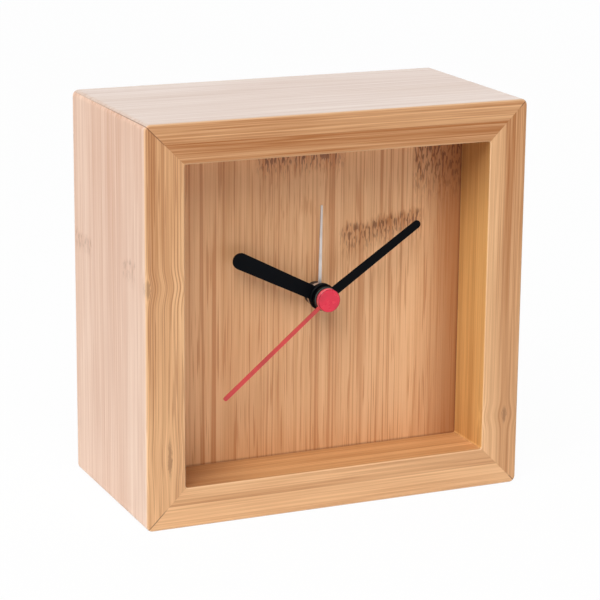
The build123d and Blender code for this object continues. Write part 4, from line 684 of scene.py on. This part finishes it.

# %% [markdown]
# ## The dial and the back
# The dial is flat-sawn bamboo. Its vessels show as crisp threads low down and break into short dashes
# higher up, where three strips carry a knuckle. Its tone changes from strip to strip, and painted shade
# darkens its right margin and, more, its upper right corner. A thin dark line lies all round it, in the
# joint with the case. The back panel is the same stock, turned so that its strips lie across the clock.

# %% Dial and back panel
# The ply line lies before the panel's face, so that all of a panel is one ply.
PANEL_WOOD = {
    "Ply Line": -1.0, "Strip Contrast": 0.2, "Bands": 0.3, "Streaks": 0.9, "Threads": 0.65,
    "Pale": srgb(238, 188, 140), "Deep": srgb(198, 136, 84), "Vessel Brown": srgb(180, 106, 50),
}
PANEL_TONE = 0.25
PANEL_KNUCKLE_DASHES = 0.4
PANEL_BUMP = 0.18
KNUCKLE_AND_SHADE_BROWN = srgb(176, 108, 54)
# The dial's darker right margin and upper right corner are painted shade; the knuckle brown serves both.
MARGIN_SHADE_BROWN = srgb(164, 108, 65)
MARGIN_SPAN = (26.0 * MM, 40.0 * MM)
CORNER_SPAN_ACROSS = (29.0 * MM, 40.0 * MM)
CORNER_SPAN_UPWARDS = (30.0 * MM, 74.0 * MM)
CORNER_SHADE_SHARE = 0.4
JOINT_WIDTH = 0.7 * MM
JOINT_DARKNESS = 0.55


def panel_joint(tree, place, half_sizes):
    """One along a panel's four sides, where it meets the case."""
    inside_upright, inside_level = from_sides(tree, place, *half_sizes)
    return remap(tree, maths(tree, "MINIMUM", inside_upright, inside_level), JOINT_WIDTH, 0.0)


def shade_panel_right(tree, place, colour, right_shade):
    """Paints shade on a panel's right margin, and more on its upper right corner."""
    sideways, _, upwards = split(tree, place)
    margin = remap(tree, sideways, *MARGIN_SPAN)
    colour = blend(tree, times(tree, margin, right_shade), colour, MARGIN_SHADE_BROWN)
    corner = remap(tree, sideways, *CORNER_SPAN_ACROSS)
    corner = times(tree, corner, remap(tree, upwards, *CORNER_SPAN_UPWARDS))
    return blend(tree, times(tree, corner, right_shade * CORNER_SHADE_SHARE), colour, KNUCKLE_AND_SHADE_BROWN)


def tone_across(tree, place, tone, steps):
    """A tone that changes across a panel. Each step is where it starts and ends, in mm, and the change."""
    sideways = split(tree, place)[0]
    for low, high, change in steps:
        tone = maths(tree, "ADD", tone, remap(tree, sideways, low * MM, high * MM, 0.0, change))
    return tone


def panel_finish(
    name, across, along, strip_width, seed, half_sizes, knuckles=(), dash_zones=(), right_shade=0.0,
    tone_steps=(),
):
    """The finish of a thin bamboo panel, with zones of dashes, painted shade at the right and steps of
    tone.
    """
    material, tree, shader, place = new_material(name)
    grain, _ = grain_space(tree, place, across, "Y", along, 0.0)
    band, speckle = place_knuckles(tree, grain, knuckles)
    dashes, _ = place_knuckles(tree, grain, dash_zones)
    wood = use_group(tree, bamboo, {
        **PANEL_WOOD, "Grain": grain, "Strip Width": strip_width * MM, "Seed": seed,
        "Inner Tone": tone_across(tree, place, PANEL_TONE, tone_steps),
        "Dashes": maths(tree, "ADD", dashes, times(tree, band, PANEL_KNUCKLE_DASHES)),
    })
    # Painted shade on the right margin and the upper right corner.
    colour = shade_panel_right(tree, place, wood.outputs["Color"], right_shade)
    colour, height = draw_knuckles(
        tree, colour, wood.outputs["Height"], band, speckle, KNUCKLE_AND_SHADE_BROWN
    )
    joint = times(tree, panel_joint(tree, place, half_sizes), JOINT_DARKNESS)
    colour = blend(tree, joint, colour, VESSEL_BROWN)
    finish_surface(tree, shader, colour, wood, height, PANEL_BUMP, GRAIN_REACH)
    return material


DIAL_HALF_SIZES = (40.0 * MM, 39.5 * MM)
DIAL_TONE_STEPS = ((-26.0, -23.0, 0.25), (-10.0, -1.0, -0.2), (6.0, 14.0, -0.14))
DIAL_KNUCKLES = (
    (-4.0, 87.0, 12.5, 2.5, 7.0, 0.0, 1.0),
    (18.0, 67.5, 12.0, 2.0, 8.0, 0.13, 0.8),
    (34.0, 86.5, 8.0, 6.0, 18.0, 0.0, 0.9),
)
DIAL_DASH_ZONES = (
    (-4.0, 88.0, 11.5, 3.0, 45.0, 0.0, 0.5),
    (18.0, 69.0, 11.5, 1.0, 28.0, 0.13, 0.5),
    (34.0, 88.0, 7.5, 3.0, 40.0, 0.0, 0.6),
)
BACK_HALF_SIZES = (46.0 * MM, 45.5 * MM)
dress(
    panel_finish(
        "bamboo_dial", "X", "Z", strip_width=21.0, seed=7.3, half_sizes=DIAL_HALF_SIZES,
        knuckles=DIAL_KNUCKLES, dash_zones=DIAL_DASH_ZONES, right_shade=0.85, tone_steps=DIAL_TONE_STEPS,
    ),
    "dial_panel",
)
dress(
    panel_finish("bamboo_back", "Z", "X", strip_width=19.0, seed=11.6, half_sizes=BACK_HALF_SIZES),
    "rear_panel",
)
print("dial and back dressed")

# %% [markdown]
# ## Plastics and metals
# Moulded plastic has a very fine grain that breaks up its highlights, and paint and plating have faint
# clouds. One group makes both, so that each part of the movement only states its colour, its gloss and
# how strong the marks are.

# %% The group for moulded, painted and plated surfaces
GRIT_STRETCH = (3200.0, 3200.0, 3200.0)
HAZE_STRETCH = (190.0, 190.0, 190.0)
HAZE_RANGE = (0.3, 0.7)
HAZE_SHADES = (0.86, 1.12)
HAZE_GLOSS = (-0.06, 0.06)

moulded, given, result = new_group(
    "moulded",
    {"Place": "Vector", "Color": "Color", "Gloss": "Float"},
    {"Color": "Color", "Roughness": "Float", "Height": "Float"},
)
grit = stretched_noise(moulded, given.outputs["Place"], GRIT_STRETCH, detail=2.0, roughness=0.6)
haze = stretched_noise(moulded, given.outputs["Place"], HAZE_STRETCH, detail=3.0)
shade = remap(moulded, haze, *HAZE_RANGE, *HAZE_SHADES)
shade_colour = put(moulded, "CombineColor", {0: shade, 1: shade, 2: shade}).outputs[0]
gloss_change = remap(moulded, haze, *HAZE_RANGE, *HAZE_GLOSS)
feed(moulded, result, {
    "Color": blend(moulded, 1.0, given.outputs["Color"], shade_colour, "MULTIPLY"),
    "Roughness": maths(moulded, "ADD", given.outputs["Gloss"], gloss_change),
    "Height": grit,
})
print("moulded group:", len(moulded.nodes), "nodes")

# %% [markdown]
# ## The movement and the hands
# Most pieces have one plain colour. The minute hand's black paint carries a painted highlight, a pale
# grey, on its rounded edges, and the red cap has painted shade on its rounded edge and a painted
# highlight, a paler pink, on its upright side, so those two finishes also choose a colour by the direction
# of the face.

# %% Dress the movement and the hands
SIDE_SPAN = (0.1, 0.3)
FRONT_SPAN = (0.9, 0.98)
GRIT_REACH = 0.03 * MM
HAND_BLACK = srgb(5, 7, 11)
# A painted highlight on the minute hand's rounded edges.
EDGE_HIGHLIGHT_GREY = srgb(74, 80, 78)
# The cap's deep red rounded edge is painted shade, and its pale pink side a painted highlight.
CAP_EDGE_SHADE_RED = srgb(176, 8, 44)
CAP_SIDE_HIGHLIGHT_PINK = srgb(250, 104, 126)


def by_direction(tree, face_colour, edge_colour, side_colour):
    """One colour on faces that look to the front, one on rounded edges, and one on upright sides."""
    frontwards = facing(tree, "Y")
    colour = blend(tree, remap(tree, frontwards, *SIDE_SPAN), side_colour, edge_colour)
    return blend(tree, remap(tree, frontwards, *FRONT_SPAN), colour, face_colour)


def moulded_finish(
    name, colour, gloss, grit=0.25, metallic=0.0, coat=0.0, shine=0.5, edge_and_side=None
):
    """A plastic, painted or plated finish, and if wanted other colours on edges and sides."""
    material, tree, shader, place = new_material(name)
    if edge_and_side:
        colour = by_direction(tree, colour, *edge_and_side)
    marks = use_group(tree, moulded, {"Place": place, "Color": colour, "Gloss": gloss})
    height = marks.outputs["Height"]
    finish_surface(tree, shader, marks.outputs["Color"], marks, height, grit, GRIT_REACH)
    feed(tree, shader, {"Metallic": metallic, "Coat Weight": coat, "Specular IOR Level": shine})
    return material


dress(
    moulded_finish("black_moulding", srgb(34, 34, 36), gloss=0.5, grit=0.5),
    "movement_front_housing", "train_plate", "movement_rear_cover", "battery_door",
)
dress(
    moulded_finish("satin_black_moulding", srgb(44, 44, 47), gloss=0.38, grit=0.2),
    "time_set_knob", "alarm_set_knob", "alarm_switch_slider",
)
dress(
    moulded_finish("natural_acetal", srgb(232, 230, 222), gloss=0.42, grit=0.15),
    "motor_coil_bobbin", "rotor_pinion", "intermediate_wheel", "second_wheel", "third_wheel",
    "centre_drive_wheel", "motion_wheel", "hour_wheel", "alarm_wheel", "time_set_pinion",
    "alarm_set_pinion",
)
dress(moulded_finish("chip_epoxy", srgb(30, 30, 33), gloss=0.55), "controller_chip", "sounder")
dress(moulded_finish("solder_mask", srgb(38, 108, 66), gloss=0.35), "circuit_board")
dress(
    moulded_finish("plain_cell_jacket", srgb(96, 102, 112), gloss=0.3, grit=0.1, coat=0.3),
    "battery_cell",
)
dress(moulded_finish("black_hand_paint", HAND_BLACK, gloss=0.5, grit=0.2, shine=0.06), "hour_hand")
# The minute hand's pale grey edges are a painted highlight.
dress(
    moulded_finish(
        "black_hand_paint_highlit_edges", HAND_BLACK, gloss=0.5, grit=0.2, shine=0.06,
        edge_and_side=(EDGE_HIGHLIGHT_GREY, HAND_BLACK),
    ),
    "minute_hand",
)
dress(moulded_finish("red_hand_paint", srgb(206, 66, 66), gloss=0.4, grit=0.1), "second_hand")
# The cap's deep red edge is painted shade and its pale pink side a painted highlight.
dress(
    moulded_finish(
        "red_cap_gloss", srgb(226, 26, 62), gloss=0.25, grit=0.05, coat=0.2,
        edge_and_side=(CAP_EDGE_SHADE_RED, CAP_SIDE_HIGHLIGHT_PINK),
    ),
    "second_hand_cap",
)
dress(
    moulded_finish("bright_alarm_hand", srgb(214, 206, 202), gloss=0.34, grit=0.1, metallic=0.6),
    "alarm_hand",
)
dress(
    moulded_finish("turned_brass", srgb(214, 176, 108), gloss=0.3, grit=0.1, metallic=1.0),
    "minute_pipe",
)
dress(
    moulded_finish("enamelled_copper", srgb(190, 104, 58), gloss=0.35, grit=0.1, metallic=0.9),
    "motor_coil_winding",
)
dress(
    moulded_finish("sintered_magnet", srgb(70, 70, 74), gloss=0.5, grit=0.3, metallic=0.7),
    "rotor_magnet",
)
dress(
    moulded_finish("plated_steel", srgb(186, 187, 190), gloss=0.3, grit=0.1, metallic=1.0),
    "rear_panel_screws", "movement_screws", "quartz_crystal", "motor_stator", "motor_coil_core",
    "positive_contact", "negative_contact", "alarm_leaf_spring",
)
print("all", len(NODES), "pieces dressed")

# %% [markdown]
# ## Marks on the movement
# The back of such a movement is printed with plain marks: what each knob sets and which way it turns,
# and where the alarm switch is on. Letters start as a text curve and become a mesh. Each arrow is a
# short line that is spun round its knob's axis, with a three-sided head at its end. The paint is pressed
# a little into the cover, so that no mark floats, and every place is taken from the pieces themselves.

# %% Printed marks
COVER_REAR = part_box("movement_rear_cover")[1][1]
PRINT_SINK = 0.05 * MM
PRINT_PROUD = 0.1 * MM
LETTER_SIZE = 2.5 * MM
WORD_GAP = 2.3 * MM
ARROW_GAP = 1.9 * MM
ARROW_HALF_WIDTH = 0.22 * MM
ARROW_HEAD = 0.85 * MM
ARROW_HALF_SWEEP = math.radians(48)
ARROW_STEPS = 24
WELD_REACH = 0.0001 * MM
READ_FROM_BEHIND = Matrix(((-1, 0, 0), (0, 0, 1), (0, 1, 0))).to_4x4()
print_paint = moulded_finish("mark_print", srgb(196, 196, 192), gloss=0.55, grit=0.1)


def piece_middle(node_name):
    """The middle of a piece's box."""
    low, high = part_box(node_name)
    return (Vector(low) + Vector(high)) / 2


def print_mark(name, marks):
    """Makes a piece of a finished bmesh, printed on the movement's cover."""
    bmesh.ops.remove_doubles(marks, verts=marks.verts, dist=WELD_REACH)
    bmesh.ops.recalc_face_normals(marks, faces=marks.faces)
    mesh = bpy.data.meshes.new(name)
    marks.to_mesh(mesh)
    marks.free()
    mesh.materials.append(print_paint)
    piece = add_object(name, mesh)
    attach(piece, "case")


def print_word(name, word, across, upwards):
    """A word on the cover, read from behind, about a given point."""
    curve = bpy.data.curves.new(name, "FONT")
    curve.body = word
    curve.size = LETTER_SIZE
    curve.align_x = "CENTER"
    curve.align_y = "CENTER"
    curve.extrude = (PRINT_SINK + PRINT_PROUD) / 2
    writing = bpy.data.objects.new(name, curve)
    flat = bpy.data.meshes.new_from_object(writing)
    marks = bmesh.new()
    marks.from_mesh(flat)
    bpy.data.objects.remove(writing)
    bpy.data.curves.remove(curve)
    bpy.data.meshes.remove(flat)
    place = Vector((across, COVER_REAR + (PRINT_PROUD - PRINT_SINK) / 2, upwards))
    bmesh.ops.transform(marks, matrix=Matrix.Translation(place) @ READ_FROM_BEHIND, verts=marks.verts)
    print_mark(name, marks)


def print_arrow(name, knob):
    """An arrow over a knob, along the way that it turns."""
    low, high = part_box(knob)
    centre = piece_middle(knob)
    centre.y = COVER_REAR - PRINT_SINK
    radius = (high[0] - low[0]) / 2 + ARROW_GAP
    outwards = Vector((-math.sin(ARROW_HALF_SWEEP), 0.0, math.cos(ARROW_HALF_SWEEP)))
    arrow = bmesh.new()
    ends = [
        arrow.verts.new(centre + outwards * (radius + aside))
        for aside in (-ARROW_HALF_WIDTH, ARROW_HALF_WIDTH)
    ]
    line = arrow.edges.new(ends)
    bmesh.ops.spin(
        arrow, geom=[*ends, line], cent=centre, axis=(0, 1, 0), angle=2 * ARROW_HALF_SWEEP,
        steps=ARROW_STEPS,
    )
    outwards = Vector((math.sin(ARROW_HALF_SWEEP), 0.0, math.cos(ARROW_HALF_SWEEP)))
    onwards = Vector((math.cos(ARROW_HALF_SWEEP), 0.0, -math.sin(ARROW_HALF_SWEEP)))
    turned = Matrix((outwards, onwards, outwards.cross(onwards))).transposed().to_4x4()
    place = Matrix.Translation(centre + outwards * radius + onwards * ARROW_HEAD / 2)
    bmesh.ops.create_circle(
        arrow, cap_ends=True, segments=3, radius=ARROW_HEAD, matrix=place @ turned
    )
    raised = bmesh.ops.extrude_face_region(arrow, geom=arrow.faces[:])
    tops = [part for part in raised["geom"] if isinstance(part, bmesh.types.BMVert)]
    bmesh.ops.translate(arrow, verts=tops, vec=(0.0, PRINT_SINK + PRINT_PROUD, 0.0))
    print_mark(name, arrow)


switch_low, switch_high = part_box("alarm_switch_slider")
switch_upwards = piece_middle("alarm_switch_slider").z
print_word("switch_off_mark", "OFF", switch_low[0] - WORD_GAP, switch_upwards)
print_word("switch_on_mark", "ON", switch_high[0] + 2 * WORD_GAP, switch_upwards)
for knob, word in (("time_set_knob", "TIME"), ("alarm_set_knob", "ALARM")):
    print_word(knob + "_word", word, piece_middle(knob).x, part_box(knob)[0][2] - WORD_GAP)
    print_arrow(knob + "_arrow", knob)
print("marks printed on the cover")

# %% [markdown]
# ## Floor and backdrop
# The clock stands on a seamless white sheet with hardly a shadow. The sheet is plain white where it is
# seen, with a share of true shading left in so that the clock still stands on something. The room
# behind it is white in the same way, and sends only a little light of its own.

# %% Floor and backdrop
FLOOR_REACH = 4.0
FLOOR_GREY = (0.88, 0.88, 0.88, 1.0)
FLOOR_ROUGHNESS = 0.9
FLOOR_WHITE_SHARE = 0.96
ROOM_LIGHT = 0.16
WHITE = (1.0, 1.0, 1.0, 1.0)


def seen_directly(tree):
    """One where a surface is seen, in reflections too, and zero where it only lights others."""
    path = put(tree, "LightPath").outputs
    indirect = maths(tree, "MAXIMUM", path["Is Glossy Ray"], path["Is Transmission Ray"])
    return maths(tree, "MAXIMUM", path["Is Camera Ray"], indirect)


floor_mesh = bmesh.new()
bmesh.ops.create_grid(floor_mesh, x_segments=2, y_segments=2, size=FLOOR_REACH)
floor_data = bpy.data.meshes.new("floor")
floor_mesh.to_mesh(floor_data)
floor_mesh.free()
floor = add_object("floor", floor_data)

floor_material, tree, shader, _ = new_material("white_sheet")
feed(tree, shader, {
    "Base Color": FLOOR_GREY, "Roughness": FLOOR_ROUGHNESS, "Specular IOR Level": 0.0,
})
white = put(tree, "Emission", {"Color": WHITE, "Strength": 1.0})
white_share = times(tree, seen_directly(tree), FLOOR_WHITE_SHARE)
mixed = put(tree, "MixShader", {0: white_share, 1: shader.outputs[0], 2: white.outputs[0]})
feed(tree, tree.nodes["Material Output"], {"Surface": mixed.outputs[0]})
floor_data.materials.append(floor_material)

world = bpy.data.worlds.new("white_room")
world.use_nodes = True
tree = world.node_tree
room_strength = between(tree, seen_directly(tree), ROOM_LIGHT, 1.0)
feed(tree, tree.nodes["Background"], {"Color": WHITE, "Strength": room_strength})
bpy.context.scene.world = world
print("floor and backdrop set")

# %% [markdown]
# ## Light
# One large lamp stands high in front and to the left, and the top board's shadow falls on the dial from
# it. A smaller lamp at each side keeps the sides from going dark, and a cool one behind draws a sheen
# over the top.

# %% Lamps
COOL_WHITE = (0.8, 0.9, 1.0)
SIDE_LAMP_SIZE = 0.9


def add_lamp(name, place, power, size=SIDE_LAMP_SIZE, colour=WHITE[:3]):
    """A square soft box that faces the middle of the clock."""
    lamp_data = bpy.data.lights.new(name, "AREA")
    lamp_data.size = size
    lamp_data.energy = power
    lamp_data.color = colour
    lamp = add_object(name, lamp_data)
    lamp.location = place
    lamp.rotation_euler = (CASE_MIDDLE - Vector(place)).to_track_quat("-Z", "Y").to_euler()


add_lamp("key_lamp", (-0.65, -0.85, 1.35), power=27.7, size=1.3)
add_lamp("left_lamp", (-1.3, 0.3, 0.3), power=7.2)
add_lamp("right_lamp", (1.3, 0.4, 0.3), power=4.0)
add_lamp("back_lamp", (0.52, 1.2, 0.40), power=3.2, colour=COOL_WHITE)
bpy.context.scene.view_settings.view_transform = "Standard"
print("lamps set")
